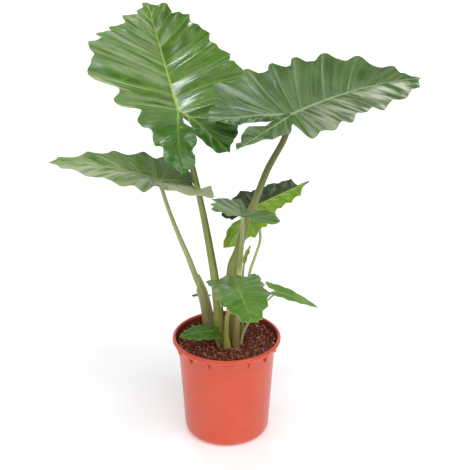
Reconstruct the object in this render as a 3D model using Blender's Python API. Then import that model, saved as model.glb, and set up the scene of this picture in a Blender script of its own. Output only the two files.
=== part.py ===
# A potted portodora alocasia: a plastic nursery pot with soil, and ten leaves on long stalks.
# Every leaf is two nodes, a green blade and the pale stalk that carries it.
# Metres, Z up, origin at the centre of the pot's base, viewer on the -Y side.

import math
import random

import bpy
import bmesh
import numpy as np
from mathutils import Matrix, Vector
from mathutils.geometry import delaunay_2d_cdt

# Pot
POT_HEIGHT = 0.244
RIM_RADIUS = 0.125
LIP_RADIUS = 0.1175
RIM_HEIGHT = 0.0105
BODY_TOP_RADIUS = 0.1115
BODY_TOP_Z = 0.222
BODY_FOOT_RADIUS = 0.0985
FOOT_CORNER = 0.017
WALL = 0.0025
TURNED_SEGMENTS = 48
GUSSETS = 15
GUSSET_WIDTH = 0.004
GUSSET_LOW = 0.2145
GUSSET_REACH = 0.0042
GUSSET_PHASE = math.radians(-87)
FOOT_NOTCHES = 4
FOOT_NOTCH_HEIGHT = 0.0030
FOOT_NOTCH_WIDTH = 0.034
FOOT_NOTCH_START = 0.058
FOOT_NOTCH_PHASE = math.radians(-53)
DRAIN_RADIUS = 0.006
DRAIN_CIRCLE = 0.068

# Soil and the holes that the stalks stand in
SOIL_EDGE = 0.231
SOIL_DISH = 0.004
SOIL_BUMP = 0.0018
SOIL_RINGS = 6
SOCKET_FLOOR = 0.195
SOCKET_CLEARANCE = 0.0006
GAP = 0.00035

# Leaves
BLADE_THICKNESS = 0.0011
SMALL_BLADE_THICKNESS = 0.0008
SMALL_BLADE = 0.12
VALLEY = 0.88
TIP_VEIN = 0.965
STALK_SIDES = 10
STUB_LENGTH = 0.012

# Each leaf: where the blade joins its stalk, compass heading of the midrib (0 is away from the
# viewer, 90 is +X), its rise and roll, then lengths in metres and angles in degrees.
# Pairs are (left, right) as seen from above with the tip ahead. A vein is (root, reach): the root
# as a share of the midrib, or minus a share of the basal rib, and the reach in mm. A third
# value is the depth of the valley after the tooth, as a share of the reach halfway to the next.
# The inner pair is the width of the strip between basal rib and sinus, as a share of that rib.
LEAVES = {
    "upper_left": dict(
        attach=(-0.100, 0.000, 0.780), heading=-9, rise=3, roll=-16, length=0.386,
        droop=-46, sweep=3, twist=9, fold=(25, -1), curl=(3, 11),
        lobe=(0.194, 0.157), spread=(170, 153), hang=(40, 73), inner=(0.22, 0.16), vein_angle=(27, 76),
        left=((0.95, 22), (0.86, 42), (0.74, 94), (0.59, 137), (0.51, 175), (0.43, 195, 0.96),
              (0.20, 198, 0.76), (0.02, 135, 0.72), (-0.21, 85), (-0.42, 68), (-0.60, 60)),
        right=((0.97, 10), (0.90, 36, 1.12), (0.78, 78), (0.67, 124), (0.50, 153), (0.33, 174, 0.92),
               (0.18, 187), (0.02, 190), (-0.25, 125), (-0.46, 83, 1.0), (-0.71, 43)),
        stalk=((-0.014, -0.003, 0.229, 0.0125), (-0.020, -0.003, 0.310, 0.0115),
               (-0.026, -0.003, 0.386, 0.0097), (-0.037, -0.003, 0.465, 0.0086),
               (-0.054, -0.002, 0.565, 0.0072), (-0.076, -0.001, 0.672, 0.0063),
               (-0.091, 0.000, 0.740, 0.0058))),
    "upper_right": dict(
        attach=(0.136, -0.100, 0.806), heading=59, rise=14, roll=26, length=0.320,
        droop=11, sweep=13, twist=6, fold=(13, 8), curl=(4, 19),
        lobe=(0.157, 0.156), spread=(153, 171), hang=(16, -3), inner=(0.13, 0.24), sinus=(1.2, 2.0),
        vein_angle=(47, 93),
        left=((0.86, 18), (0.77, 41, 0.80), (0.54, 80), (0.35, 107), (0.20, 118), (0.08, 126),
              (-0.04, 136), (-0.28, 134), (-0.65, 68)),
        right=((0.90, 29), (0.72, 55), (0.51, 71), (0.40, 63), (0.28, 76), (0.14, 80),
               (0.00, 78, 0.40), (-0.17, 38, 1.00), (-0.34, 36), (-0.65, 21)),
        stalk=((0.015, 0.012, 0.229, 0.0140), (0.016, 0.010, 0.303, 0.0160),
               (0.015, 0.005, 0.369, 0.0178), (0.018, 0.000, 0.422, 0.0155),
               (0.028, -0.004, 0.466, 0.0105), (0.043, -0.012, 0.532, 0.0086),
               (0.060, -0.020, 0.577, 0.0078), (0.088, -0.045, 0.666, 0.0072),
               (0.119, -0.078, 0.742, 0.0066)),
        sheath=0.62),
    "left": dict(
        attach=(-0.144, -0.020, 0.632), heading=-95, rise=22, roll=-2, length=0.245,
        droop=13, sweep=-19, twist=-14, fold=(10, 20), curl=(12, 8),
        lobe=(0.131, 0.087), spread=(156, 152), hang=(-22, 4), inner=(0.26, 0.22), vein_angle=(40, 84),
        left=((0.84, 24), (0.58, 58), (0.28, 87), (0.10, 98, 0.78), (-0.06, 52), (-0.38, 40), (-0.74, 30)),
        right=((0.85, 19, 0.72), (0.56, 41, 0.84), (0.34, 56, 0.82), (0.10, 81, 0.78), (-0.10, 104),
               (-0.42, 62)),
        stalk=((-0.041, 0.045, 0.229, 0.0135), (-0.047, 0.043, 0.286, 0.0134),
               (-0.056, 0.038, 0.333, 0.0122), (-0.072, 0.031, 0.382, 0.0076),
               (-0.085, 0.026, 0.425, 0.0063), (-0.104, 0.016, 0.481, 0.0054),
               (-0.126, 0.000, 0.555, 0.0047))),
    "back": dict(
        attach=(0.068, 0.130, 0.512), heading=57, rise=11, roll=26, length=0.150,
        droop=-9, sweep=6, twist=7, fold=(12, -8), curl=(2, 13),
        lobe=(0.080, 0.132), spread=(160, 159), hang=(42, 17), inner=(0.25, 0.13), vein_angle=(50, 75),
        left=((0.85, 4, 0.35), (0.66, 31), (0.50, 33), (0.28, 42), (0.04, 42), (-0.12, 50),
              (-0.50, 34)),
        right=((0.84, 7), (0.67, 26), (0.46, 32), (0.27, 33), (0.12, 40), (-0.08, 54), (-0.26, 57),
               (-0.50, 50)),
        stalk=((0.036, 0.040, 0.229, 0.0040), (0.040, 0.045, 0.285, 0.0040),
               (0.046, 0.052, 0.333, 0.0038), (0.055, 0.064, 0.379, 0.0036),
               (0.067, 0.078, 0.411, 0.0034), (0.078, 0.100, 0.446, 0.0032))),
    "middle": dict(
        attach=(0.035, -0.120, 0.591), heading=-6, rise=-8, roll=6, length=0.110,
        droop=-11, sweep=5, twist=0, fold=(18, 18), curl=(-9, -4),
        lobe=(0.119, 0.113), spread=(136, 144), hang=(3, 10), inner=(0.07, 0.18), vein_angle=(30, 80),
        left=((0.84, 11), (0.66, 27), (0.40, 52), (0.09, 72), (-0.30, 57), (-0.62, 32)),
        right=((0.84, 7), (0.62, 12), (0.36, 14, 0.45), (0.08, 49), (-0.30, 50), (-0.62, 34)),
        stalk=((0.0205, -0.020, 0.229, 0.0090), (0.022, -0.024, 0.295, 0.0080),
               (0.024, -0.029, 0.349, 0.0072), (0.027, -0.034, 0.401, 0.0062),
               (0.031, -0.045, 0.450, 0.0052), (0.034, -0.062, 0.496, 0.0046),
               (0.035, -0.088, 0.545, 0.0042))),
    "front": dict(
        attach=(0.025, -0.150, 0.437), heading=171, rise=10, roll=4, length=0.143,
        droop=29, sweep=-5, twist=-8, fold=(1, -1), curl=(6, 16),
        lobe=(0.103, 0.114), spread=(148, 151), hang=(0, 0), inner=(0.26, 0.26), vein_angle=(29, 82),
        left=((0.86, 13), (0.70, 33), (0.44, 51), (0.16, 67), (-0.10, 56), (-0.45, 43)),
        right=((0.88, 10), (0.74, 29), (0.52, 42), (0.33, 53), (0.10, 54), (-0.28, 38), (-0.60, 26)),
        stalk=((0.001, -0.030, 0.229, 0.0095), (-0.003, -0.042, 0.279, 0.0080),
               (0.000, -0.068, 0.326, 0.0055), (0.010, -0.103, 0.373, 0.0046))),
    "right": dict(
        attach=(0.114, -0.020, 0.364), heading=96, rise=-16, roll=15, length=0.102,
        droop=11, sweep=0, twist=0, fold=(12, 1), curl=(9, 13),
        lobe=(0.035, 0.024), spread=(151, 154), hang=(-10, 25), inner=(0.22, 0.20), vein_angle=(33, 90),
        left=((0.80, 8), (0.55, 14), (0.24, 21), (0.00, 22), (-0.47, 14)),
        right=((0.78, 7), (0.52, 12), (0.26, 15), (0.00, 14), (-0.42, 9)),
        stalk=((0.033, -0.012, 0.229, 0.0038), (0.038, -0.012, 0.255, 0.0035),
               (0.056, -0.013, 0.292, 0.0029), (0.080, -0.016, 0.327, 0.0025),
               (0.100, -0.019, 0.350, 0.0023))),
    "low": dict(
        attach=(-0.037, -0.040, 0.275), heading=-100, rise=4, roll=-9, length=0.072,
        droop=13, sweep=-12, twist=-8, fold=(-2, 6), curl=(19, 10),
        lobe=(0.026, 0.024), spread=(152, 152), hang=(40, 15), inner=(0.22, 0.22), vein_angle=(38, 86),
        left=((0.84, 9), (0.60, 19), (0.32, 26), (0.04, 27), (-0.45, 18)),
        right=((0.84, 8), (0.62, 15), (0.38, 23), (0.08, 25), (-0.36, 16)),
        stalk=((-0.018, -0.030, 0.229, 0.0030), (-0.021, -0.032, 0.240, 0.0028),
               (-0.028, -0.036, 0.257, 0.0025))),
    "young": dict(
        attach=(0.040, 0.032, 0.412), heading=40, rise=62, roll=0, length=0.044,
        droop=10, sweep=0, twist=6, fold=(24, 28), curl=(-6, -6),
        lobe=(0.006, 0.006), spread=(118, 118), hang=(0, 0), inner=(0.15, 0.15), vein_angle=(20, 60),
        left=((0.78, 5), (0.45, 9), (0.12, 8)),
        right=((0.78, 5), (0.45, 10), (0.12, 8)),
        stalk=((0.034, 0.018, 0.229, 0.0035), (0.034, 0.022, 0.297, 0.0035),
               (0.035, 0.026, 0.346, 0.0030), (0.038, 0.030, 0.390, 0.0024))),
    "small": dict(
        attach=(-0.050, 0.090, 0.301), heading=-90, rise=2, roll=22, length=0.034,
        droop=10, sweep=0, twist=0, fold=(6, 6), curl=(10, 10),
        lobe=(0.016, 0.016), spread=(150, 150), hang=(5, 5), inner=(0.22, 0.22), vein_angle=(35, 82),
        left=((0.70, 7), (0.35, 11), (0.00, 11), (-0.50, 7)),
        right=((0.70, 7), (0.35, 11), (0.00, 11), (-0.50, 7)),
        stalk=((-0.026, 0.068, 0.229, 0.0030), (-0.036, 0.077, 0.265, 0.0025),
               (-0.044, 0.085, 0.288, 0.0022))),
}

# Colour, roughness and metallic value of every material
FINISHES = {
    "pot plastic": ((0.75, 0.13, 0.06), 0.35, 0.0),
    "peat soil": ((0.05, 0.025, 0.02), 0.95, 0.0),
    "leaf green": ((0.08, 0.24, 0.05), 0.35, 0.0),
    "young leaf green": ((0.22, 0.42, 0.04), 0.40, 0.0),
    "stalk green": ((0.30, 0.38, 0.12), 0.45, 0.0),
}


def clear_scene():
    for thing in list(bpy.data.objects):
        bpy.data.objects.remove(thing, do_unlink=True)


def make_material(name):
    colour, roughness, metallic = FINISHES[name]
    material = bpy.data.materials.new(name)
    material.use_nodes = True
    shader = material.node_tree.nodes["Principled BSDF"]
    shader.inputs["Base Color"].default_value = (*colour, 1.0)
    shader.inputs["Roughness"].default_value = roughness
    shader.inputs["Metallic"].default_value = metallic
    return material


def add_object(name, mesh, material=None):
    thing = bpy.data.objects.new(name, mesh)
    bpy.context.scene.collection.objects.link(thing)
    if material:
        mesh.materials.append(material)
    return thing


def mesh_from(name, points, faces):
    mesh = bpy.data.meshes.new(name)
    mesh.from_pydata([tuple(p) for p in points], [], faces)
    mesh.update()
    return mesh


def shade_round(mesh, sharp_degrees=40):
    mesh.shade_smooth()
    mesh.set_sharp_from_angle(angle=math.radians(sharp_degrees))


def apply_boolean(target, cutters, operation, solver="EXACT"):
    """Joins or cuts the target with all the cutters at once, then removes them."""
    group = bpy.data.collections.new("cutters")
    bpy.context.scene.collection.children.link(group)
    for cutter in cutters:
        bpy.context.scene.collection.objects.unlink(cutter)
        group.objects.link(cutter)
    modifier = target.modifiers.new("join", "BOOLEAN")
    modifier.operation = operation
    modifier.operand_type = "COLLECTION"
    modifier.collection = group
    modifier.solver = solver
    bpy.context.view_layer.update()
    result = bpy.data.meshes.new_from_object(target.evaluated_get(bpy.context.evaluated_depsgraph_get()))
    target.modifiers.remove(modifier)
    target.data = result
    for cutter in list(group.objects):
        bpy.data.objects.remove(cutter, do_unlink=True)
    bpy.data.collections.remove(group)


def arc(centre, radius, start, end, steps):
    """Points of a circle arc in the (radius, height) plane, angles in degrees."""
    angles = np.radians(np.linspace(start, end, steps + 1))
    return [(centre[0] + radius * math.cos(a), centre[1] + radius * math.sin(a)) for a in angles]


def turned_mesh(name, profile):
    """A closed solid turned about Z. The profile starts and ends on the axis, bottom first."""
    points = [(0.0, 0.0, profile[0][1])]
    for radius, height in profile[1:-1]:
        for k in range(TURNED_SEGMENTS):
            a = math.tau * k / TURNED_SEGMENTS
            points.append((radius * math.cos(a), radius * math.sin(a), height))
    points.append((0.0, 0.0, profile[-1][1]))
    last = len(points) - 1
    rings = len(profile) - 2
    faces = []
    for k in range(TURNED_SEGMENTS):
        n = (k + 1) % TURNED_SEGMENTS
        faces.append((0, 1 + n, 1 + k))
        for ring in range(rings - 1):
            low = 1 + ring * TURNED_SEGMENTS
            high = low + TURNED_SEGMENTS
            faces.append((low + k, low + n, high + n, high + k))
        top = 1 + (rings - 1) * TURNED_SEGMENTS
        faces.append((top + k, top + n, last))
    return mesh_from(name, points, faces)


def inner_wall_profile(inset):
    """The pot's inside from its floor up to the soil's edge, moved in by the inset."""
    corner = FOOT_CORNER - WALL
    foot = BODY_FOOT_RADIUS - WALL - inset
    floor = WALL + inset
    points = arc((foot - corner, floor + corner), corner, -90, 0, 3)
    points.append((BODY_TOP_RADIUS - WALL - inset, BODY_TOP_Z - 0.002))
    points.append((BODY_TOP_RADIUS - 0.0008 - inset, BODY_TOP_Z + 0.002))
    points.append((LIP_RADIUS - 0.0030 - inset, SOIL_EDGE))
    return points


def build_pot(material):
    corner = FOOT_CORNER
    rim_low = POT_HEIGHT - RIM_HEIGHT
    outer = arc((BODY_FOOT_RADIUS - corner, corner), corner, -90, 0, 5)
    outer.append((BODY_TOP_RADIUS, BODY_TOP_Z))
    outer += [(RIM_RADIUS - 0.005, rim_low - 0.003), (RIM_RADIUS - 0.0012, rim_low + 0.0005)]
    rim = [(RIM_RADIUS, rim_low + 0.004), (RIM_RADIUS - 0.0006, POT_HEIGHT - 0.0022)]
    rim += [(RIM_RADIUS - 0.0040, POT_HEIGHT), (LIP_RADIUS + 0.0012, POT_HEIGHT - 0.0004)]
    rim.append((LIP_RADIUS, POT_HEIGHT - 0.0025))
    inner = inner_wall_profile(0.0)[::-1]
    profile = [(0.0, 0.0)] + outer + rim + inner + [(0.0, WALL)]
    pot = add_object("pot", turned_mesh("pot", profile), material)
    gussets = []
    embedded = BODY_TOP_RADIUS - 0.0014
    section = [(embedded, GUSSET_LOW), (BODY_TOP_RADIUS + GUSSET_REACH, GUSSET_LOW + 0.001)]
    section += [(RIM_RADIUS - 0.005, rim_low - 0.0045), (RIM_RADIUS - 0.006, rim_low)]
    section += [(BODY_TOP_RADIUS + 0.003, rim_low - 0.0065), (embedded, BODY_TOP_Z - 0.002)]
    for k in range(GUSSETS):
        a = GUSSET_PHASE + math.tau * k / GUSSETS
        points = []
        for side in (-0.5, 0.5):
            for radius, height in section:
                along = Vector((math.cos(a), math.sin(a), 0)) * radius
                across = Vector((-math.sin(a), math.cos(a), 0)) * side * GUSSET_WIDTH
                points.append(along + across + Vector((0, 0, height)))
        n = len(section)
        faces = [tuple(range(n)), tuple(range(2 * n - 1, n - 1, -1))]
        faces += [((i + 1) % n, i, i + n, (i + 1) % n + n) for i in range(n)]
        gussets.append(add_object("gusset", mesh_from("gusset", points, faces)))
    apply_boolean(pot, gussets, "UNION")
    cutters = []
    for k in range(FOOT_NOTCHES):
        a = FOOT_NOTCH_PHASE + math.tau * k / FOOT_NOTCHES
        outward = Vector((math.cos(a), math.sin(a), 0))
        cutters.append(notch(outward))
        hole = outward * DRAIN_CIRCLE
        low, high = hole - Vector((0, 0, 0.01)), hole + Vector((0, 0, 0.02))
        cutters.append(cylinder(low, high, DRAIN_RADIUS, DRAIN_RADIUS, 8))
    apply_boolean(pot, cutters, "DIFFERENCE")
    shade_round(pot.data)
    return pot


def notch(outward):
    """A low wedge that lifts the pot's edge off the ground between two feet."""
    across = Vector((-outward.y, outward.x, 0)) * 0.5 * FOOT_NOTCH_WIDTH
    near, far = outward * FOOT_NOTCH_START, outward * (BODY_FOOT_RADIUS + 0.01)
    low = Vector((0, 0, -0.004))
    high = Vector((0, 0, FOOT_NOTCH_HEIGHT))
    points = [near - across + low, near + across + low, far + across + low, far - across + low]
    points += [near - across * 0.9, near + across * 0.9]
    points += [far + across * 0.9 + high, far - across * 0.9 + high]
    faces = [(3, 2, 1, 0), (4, 5, 6, 7), (0, 1, 5, 4), (1, 2, 6, 5), (2, 3, 7, 6), (3, 0, 4, 7)]
    return add_object("notch", mesh_from("notch", points, faces))


def ring_points(centre, direction, radius, sides, flat=1.0):
    """A ring of points square to the direction, narrowed towards the viewer by the flat factor."""
    direction = direction.normalized()
    across = Vector((0, 1, 0)).cross(direction).normalized()
    depth = direction.cross(across).normalized()
    ring = []
    for k in range(sides):
        a = math.tau * k / sides
        ring.append(centre + across * radius * math.cos(a) + depth * radius * flat * math.sin(a))
    return ring


def tube_mesh(name, centres, directions, radii, sides, flats=None):
    """A closed tube through the centres, with flat ends."""
    points = []
    for i, centre in enumerate(centres):
        points += ring_points(centre, directions[i], radii[i], sides, flats[i] if flats else 1.0)
    faces = [tuple(range(sides - 1, -1, -1))]
    for i in range(len(centres) - 1):
        low = i * sides
        high = low + sides
        for k in range(sides):
            n = (k + 1) % sides
            faces.append((low + k, low + n, high + n, high + k))
    faces.append(tuple(range((len(centres) - 1) * sides, len(centres) * sides)))
    return mesh_from(name, points, faces)


def cylinder(start, end, start_radius, end_radius, sides):
    direction = end - start
    mesh = tube_mesh("cylinder", [start, end], [direction, direction], [start_radius, end_radius], sides)
    return add_object("cylinder", mesh)


def build_soil(material):
    """Peat that fills the pot to just under the lip, with a plain hole for each stalk."""
    rng = random.Random(5)
    side = inner_wall_profile(GAP)
    edge = side[-1][0]
    rings = []
    for k in range(1, SOIL_RINGS):
        radius = edge * (1 - (k / SOIL_RINGS) ** 0.9)
        rings.append((radius, SOIL_EDGE - SOIL_DISH * (1 - (radius / edge) ** 2)))
    floor = side[0][1]
    mesh = turned_mesh("soil", [(0.0, floor)] + side + rings + [(0.0, SOIL_EDGE - SOIL_DISH)])
    for vertex in mesh.vertices:
        inside = math.hypot(vertex.co.x, vertex.co.y) < edge - 0.001
        if inside and vertex.co.z > SOIL_EDGE - SOIL_DISH - 1e-6:
            vertex.co.z += rng.uniform(-1.0, 0.6) * SOIL_BUMP
    soil = add_object("soil", mesh, material)
    sockets = []
    for leaf in LEAVES.values():
        x, y = leaf["stalk"][0][:2]
        radius = leaf["stalk"][0][3] + SOCKET_CLEARANCE
        low, high = Vector((x, y, SOCKET_FLOOR)), Vector((x, y, SOIL_EDGE + 0.02))
        sockets.append(cylinder(low, high, radius, radius, STALK_SIDES))
    apply_boolean(soil, sockets, "DIFFERENCE")
    shade_round(soil.data, 30)
    return soil


def vein_point(leaf, side, root, reach, share=1.0):
    """Flat position, right half positive, at a share of the way along the vein with this root."""
    s = 0 if side < 0 else 1
    rib = leaf["lobe"][s]
    spread = math.radians(leaf["spread"][s])
    first, last = (math.radians(a) for a in leaf["vein_angle"])
    if root >= 0:
        x, y = 0.0, leaf["length"] * root
        angle = first + (last - first) * (1 - root) ** 0.8
    else:
        x, y = -rib * root * math.sin(spread), -rib * root * math.cos(spread)
        angle = last + (spread - last) * (-root) ** 0.8
    return x + share * reach * math.sin(angle), y + share * reach * math.cos(angle)


def inner_point(leaf, side, share, across):
    """Flat position between the basal rib and the sinus margin."""
    s = 0 if side < 0 else 1
    rib = leaf["lobe"][s]
    spread = math.radians(leaf["spread"][s])
    sinus = leaf.get("sinus", (1.3, 1.3))[s]
    width = across * leaf["inner"][s] * rib * math.sin(math.pi * share ** sinus) ** 0.8
    inward = spread + math.radians(58)
    return (rib * share * math.sin(spread) + width * math.sin(inward),
            rib * share * math.cos(spread) + width * math.cos(inward))


def shape_leaf(leaf, side, x, y, z):
    """Folds, curls, hangs and bends one flat point and places it on the plant."""
    s = 0 if side < 0 else 1
    length = leaf["length"]
    fold = math.radians(leaf["fold"][s])
    curl = math.radians(leaf["curl"][s]) / (0.5 * length)
    turn = fold - curl * x
    if abs(curl) > 1e-6:
        across = (math.sin(fold) - math.sin(turn)) / curl
        height = (math.cos(turn) - math.cos(fold)) / curl
    else:
        across, height = x * math.cos(fold), x * math.sin(fold)
    across -= z * math.sin(turn)
    height += z * math.cos(turn)
    if y < 0:
        rate = math.radians(leaf["hang"][s]) / leaf["lobe"][s]
        angle = -rate * y
        if abs(rate) > 1e-6:
            back, drop = -math.sin(angle) / rate, -(1 - math.cos(angle)) / rate
        else:
            back, drop = y, 0.0
        local = Vector((side * across, back - height * math.sin(angle), drop + height * math.cos(angle)))
    else:
        share = y / length
        steps = 24
        centre = Vector((0, 0, 0))
        for k in range(steps):
            part = share * (k + 0.5) / steps
            down = math.radians(leaf["droop"]) * part
            aside = math.radians(leaf["sweep"]) * part
            step = (math.cos(down) * math.sin(aside), math.cos(down) * math.cos(aside), -math.sin(down))
            centre += Vector(step) * (y / steps)
        down = math.radians(leaf["droop"]) * share
        aside = math.radians(leaf["sweep"]) * share
        twist = math.radians(leaf["twist"]) * share
        flat_x = side * across * math.cos(twist) + height * math.sin(twist)
        flat_z = -side * across * math.sin(twist) + height * math.cos(twist)
        forward = flat_z * math.sin(down)
        local = centre + Vector((flat_x * math.cos(aside) + forward * math.sin(aside),
                                 -flat_x * math.sin(aside) + forward * math.cos(aside),
                                 flat_z * math.cos(down)))
    local.rotate(Matrix.Rotation(math.radians(leaf["roll"]), 3, "Y"))
    local.rotate(Matrix.Rotation(math.radians(leaf["rise"]), 3, "X"))
    local.rotate(Matrix.Rotation(-math.radians(leaf["heading"]), 3, "Z"))
    return local + Vector(leaf["attach"])


def half_blade(leaf, side, roots):
    """Flat points of one half with their relief and rib depth, its edges, and the midrib's indices."""
    length = leaf["length"]
    veins = list(leaf["left" if side < 0 else "right"])
    if length > SMALL_BLADE and veins[0][0] < 0.93:
        veins.insert(0, (TIP_VEIN, 0.014 * length * 1000))
    full_wave = 0.020 * length
    rib_depth = 0.009 * length + 0.0003
    flat, relief, depth, edges, lobe_feet = [], [], [], [], []

    def add(point, height=0.0, rib=0.0):
        flat.append(point)
        relief.append(height)
        depth.append(rib)
        return len(flat) - 1

    midrib = [add((0.0, length * a), 0.0, rib_depth * (1 - 0.9 * a)) for a in roots]
    margin = [midrib[0]]
    for i, (root, reach_mm, *valley) in enumerate(veins):
        reach = reach_mm / 1000
        wave = min(full_wave, 0.10 * reach)
        if root >= 0:
            foot = midrib[roots.index(root)]
        else:
            foot = add(vein_point(leaf, side, root, 0.0), 0.0, 0.7 * rib_depth * (1 + root))
            lobe_feet.append(foot)
        vein = [foot]
        if reach > 0.012:
            vein.append(add(vein_point(leaf, side, root, reach, 0.14), -0.1 * wave, 0.15 * rib_depth))
        vein.append(add(vein_point(leaf, side, root, reach, 0.55), -0.25 * wave, 0.12 * rib_depth))
        tip = add(vein_point(leaf, side, root, reach), -0.9 * wave)
        vein.append(tip)
        edges += list(zip(vein[:-1], vein[1:]))
        margin.append(tip)
        if i + 1 < len(veins):
            mid_root = 0.5 * (root + veins[i + 1][0])
            mid_reach = 0.0005 * (reach_mm + veins[i + 1][1])
            ridge = 0.5 if i else 0.2
            inner_reach = mid_reach * 0.42 * (valley[0] if valley else 1.0)
            bay_reach = mid_reach * (valley[0] if valley else VALLEY)
            add(vein_point(leaf, side, mid_root, inner_reach), ridge * wave)
            margin.append(add(vein_point(leaf, side, mid_root, bay_reach), ridge * wave))
    spread = math.radians(leaf["spread"][0 if side < 0 else 1])
    rib = leaf["lobe"][0 if side < 0 else 1]
    wave = min(full_wave, 0.05 * rib)
    lobe_tip = add((rib * math.sin(spread), rib * math.cos(spread)), -0.5 * wave)
    margin.append(lobe_tip)
    feet = [midrib[-1]] + lobe_feet + [lobe_tip]
    edges += list(zip(feet[:-1], feet[1:]))
    shares = (0.82, 0.6, 0.38, 0.16)
    for k, share in enumerate(shares):
        margin.append(add(inner_point(leaf, side, share, 1.0), (0.3 if k % 2 else -0.4) * wave))
        if share < 0.8:
            add(inner_point(leaf, side, share + 0.1, 0.5), 0.1 * wave)
    margin += midrib[::-1][:-1]
    edges += list(zip(margin, margin[1:] + margin[:1]))
    return flat, relief, depth, edges, midrib


def blade_surface(leaf):
    """The blade's middle surface as a mesh in place, with the rib depth at each vertex."""
    roots = {1.0, 0.0} | {vein[0] for key in ("left", "right") for vein in leaf[key] if vein[0] >= 0}
    if leaf["length"] > SMALL_BLADE and min(leaf[key][0][0] for key in ("left", "right")) < 0.93:
        roots.add(TIP_VEIN)
    roots = sorted(roots, reverse=True)
    surface = bmesh.new()
    depths = []
    shared = {}
    for side in (-1, 1):
        flat, relief, depth, edges, midrib = half_blade(leaf, side, roots)
        found = delaunay_2d_cdt([Vector(p) for p in flat], edges, [], 1, 1e-6)
        coords, triangles, origins = found[0], found[2], found[3]
        vertices = []
        for k, point in enumerate(coords):
            source = origins[k][0] if origins[k] else None
            height = relief[source] if source is not None else 0.0
            rib = depth[source] if source is not None else 0.0
            if source in midrib and source in shared:
                vertices.append(shared[source])
                continue
            vertex = surface.verts.new(shape_leaf(leaf, side, point[0], point[1], height))
            depths.append(rib)
            if source in midrib:
                shared[source] = vertex
            vertices.append(vertex)
        for triangle in triangles:
            corners = [vertices[k] for k in triangle]
            surface.faces.new(corners if side > 0 else corners[::-1])
    surface.verts.index_update()
    surface.normal_update()
    return surface, depths


def blade_mesh(name, leaf):
    """The surface thickened into one closed solid, both faces split into triangles alike."""
    surface, depths = blade_surface(leaf)
    half = 0.5 * (BLADE_THICKNESS if leaf["length"] > SMALL_BLADE else SMALL_BLADE_THICKNESS)
    count = len(surface.verts)
    upper = [v.co + v.normal * half for v in surface.verts]
    lower = [v.co - v.normal * (half + depths[v.index]) for v in surface.verts]
    faces = []
    for face in surface.faces:
        corners = [v.index for v in face.verts]
        faces.append(tuple(corners))
        faces.append(tuple(k + count for k in corners[::-1]))
    for edge in surface.edges:
        if len(edge.link_faces) == 1:
            loop = next(l for l in edge.link_faces[0].loops if l.edge == edge)
            a, b = loop.vert.index, loop.link_loop_next.vert.index
            faces.append((b, a, a + count))
            faces.append((b, a + count, b + count))
    surface.free()
    return mesh_from(name, upper + lower, faces)


def stalk_direction(leaf):
    """Unit direction from the blade's joint down along the stalk."""
    return (Vector(leaf["stalk"][-1][:3]) - Vector(leaf["attach"])).normalized()


def build_blade(name, leaf, material):
    blade = add_object("blade_" + name, blade_mesh(name, leaf), material)
    joint = Vector(leaf["attach"])
    down = stalk_direction(leaf)
    radius = leaf["stalk"][-1][3] * 0.92
    length = min(STUB_LENGTH, 3.0 * radius)
    shares = (0.10, 0.5, 1.0)
    widths = (0.30, 0.85, 1.0)
    centres = [joint + down * length * s for s in shares[::-1]]
    mesh = tube_mesh("stub", centres, [-down] * 3, [radius * w for w in widths[::-1]], STALK_SIDES)
    apply_boolean(blade, [add_object("stub", mesh)], "UNION")
    shade_round(blade.data, 60)
    return blade


def smooth_path(points, spans):
    """Catmull-Rom curve through points of position and radius."""
    pts = np.array([points[0]] + list(points) + [points[-1]], float)
    out = []
    for i in range(1, len(pts) - 2):
        for t in np.linspace(0, 1, spans, endpoint=False):
            p0, p1, p2, p3 = pts[i - 1], pts[i], pts[i + 1], pts[i + 2]
            square = (2 * p0 - 5 * p1 + 4 * p2 - p3) * t ** 2
            cube = (3 * p1 - p0 - 3 * p2 + p3) * t ** 3
            out.append(0.5 * (2 * p1 + (p2 - p0) * t + square + cube))
    out.append(pts[-2])
    return out


def build_stalk(name, leaf, material):
    joint = Vector(leaf["attach"])
    down = stalk_direction(leaf)
    radius = leaf["stalk"][-1][3] * 0.92
    length = min(STUB_LENGTH, 3.0 * radius) + GAP
    end = joint + down * length
    x, y, z, first = leaf["stalk"][0]
    path = smooth_path(leaf["stalk"] + ((*end, radius),), 2)
    centres = [Vector((x, y, SOCKET_FLOOR + GAP))] + [Vector(p[:3]) for p in path]
    radii = [first] + [p[3] for p in path]
    directions = [Vector((0, 0, 1))]
    for i in range(1, len(centres) - 1):
        directions.append(centres[i + 1] - centres[i - 1])
    directions.append(-down)
    directions[1] = Vector((0, 0, 1))
    flats = [1.0] * len(centres)
    if "sheath" in leaf:
        wide = max(radii)
        flats = [1.0 - (1.0 - leaf["sheath"]) * max(0.0, (r - first) / (wide - first)) for r in radii]
    mesh = tube_mesh(name, centres, directions, radii, STALK_SIDES, flats)
    stalk = add_object("stalk_" + name, mesh, material)
    shade_round(stalk.data, 50)
    return stalk


def build_plant():
    clear_scene()
    green = make_material("leaf green")
    fresh = make_material("young leaf green")
    pale = make_material("stalk green")
    build_pot(make_material("pot plastic"))
    build_soil(make_material("peat soil"))
    for name, leaf in LEAVES.items():
        build_blade(name, leaf, fresh if name in ("young", "back") else green)
        build_stalk(name, leaf, pale)


build_plant()
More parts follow.
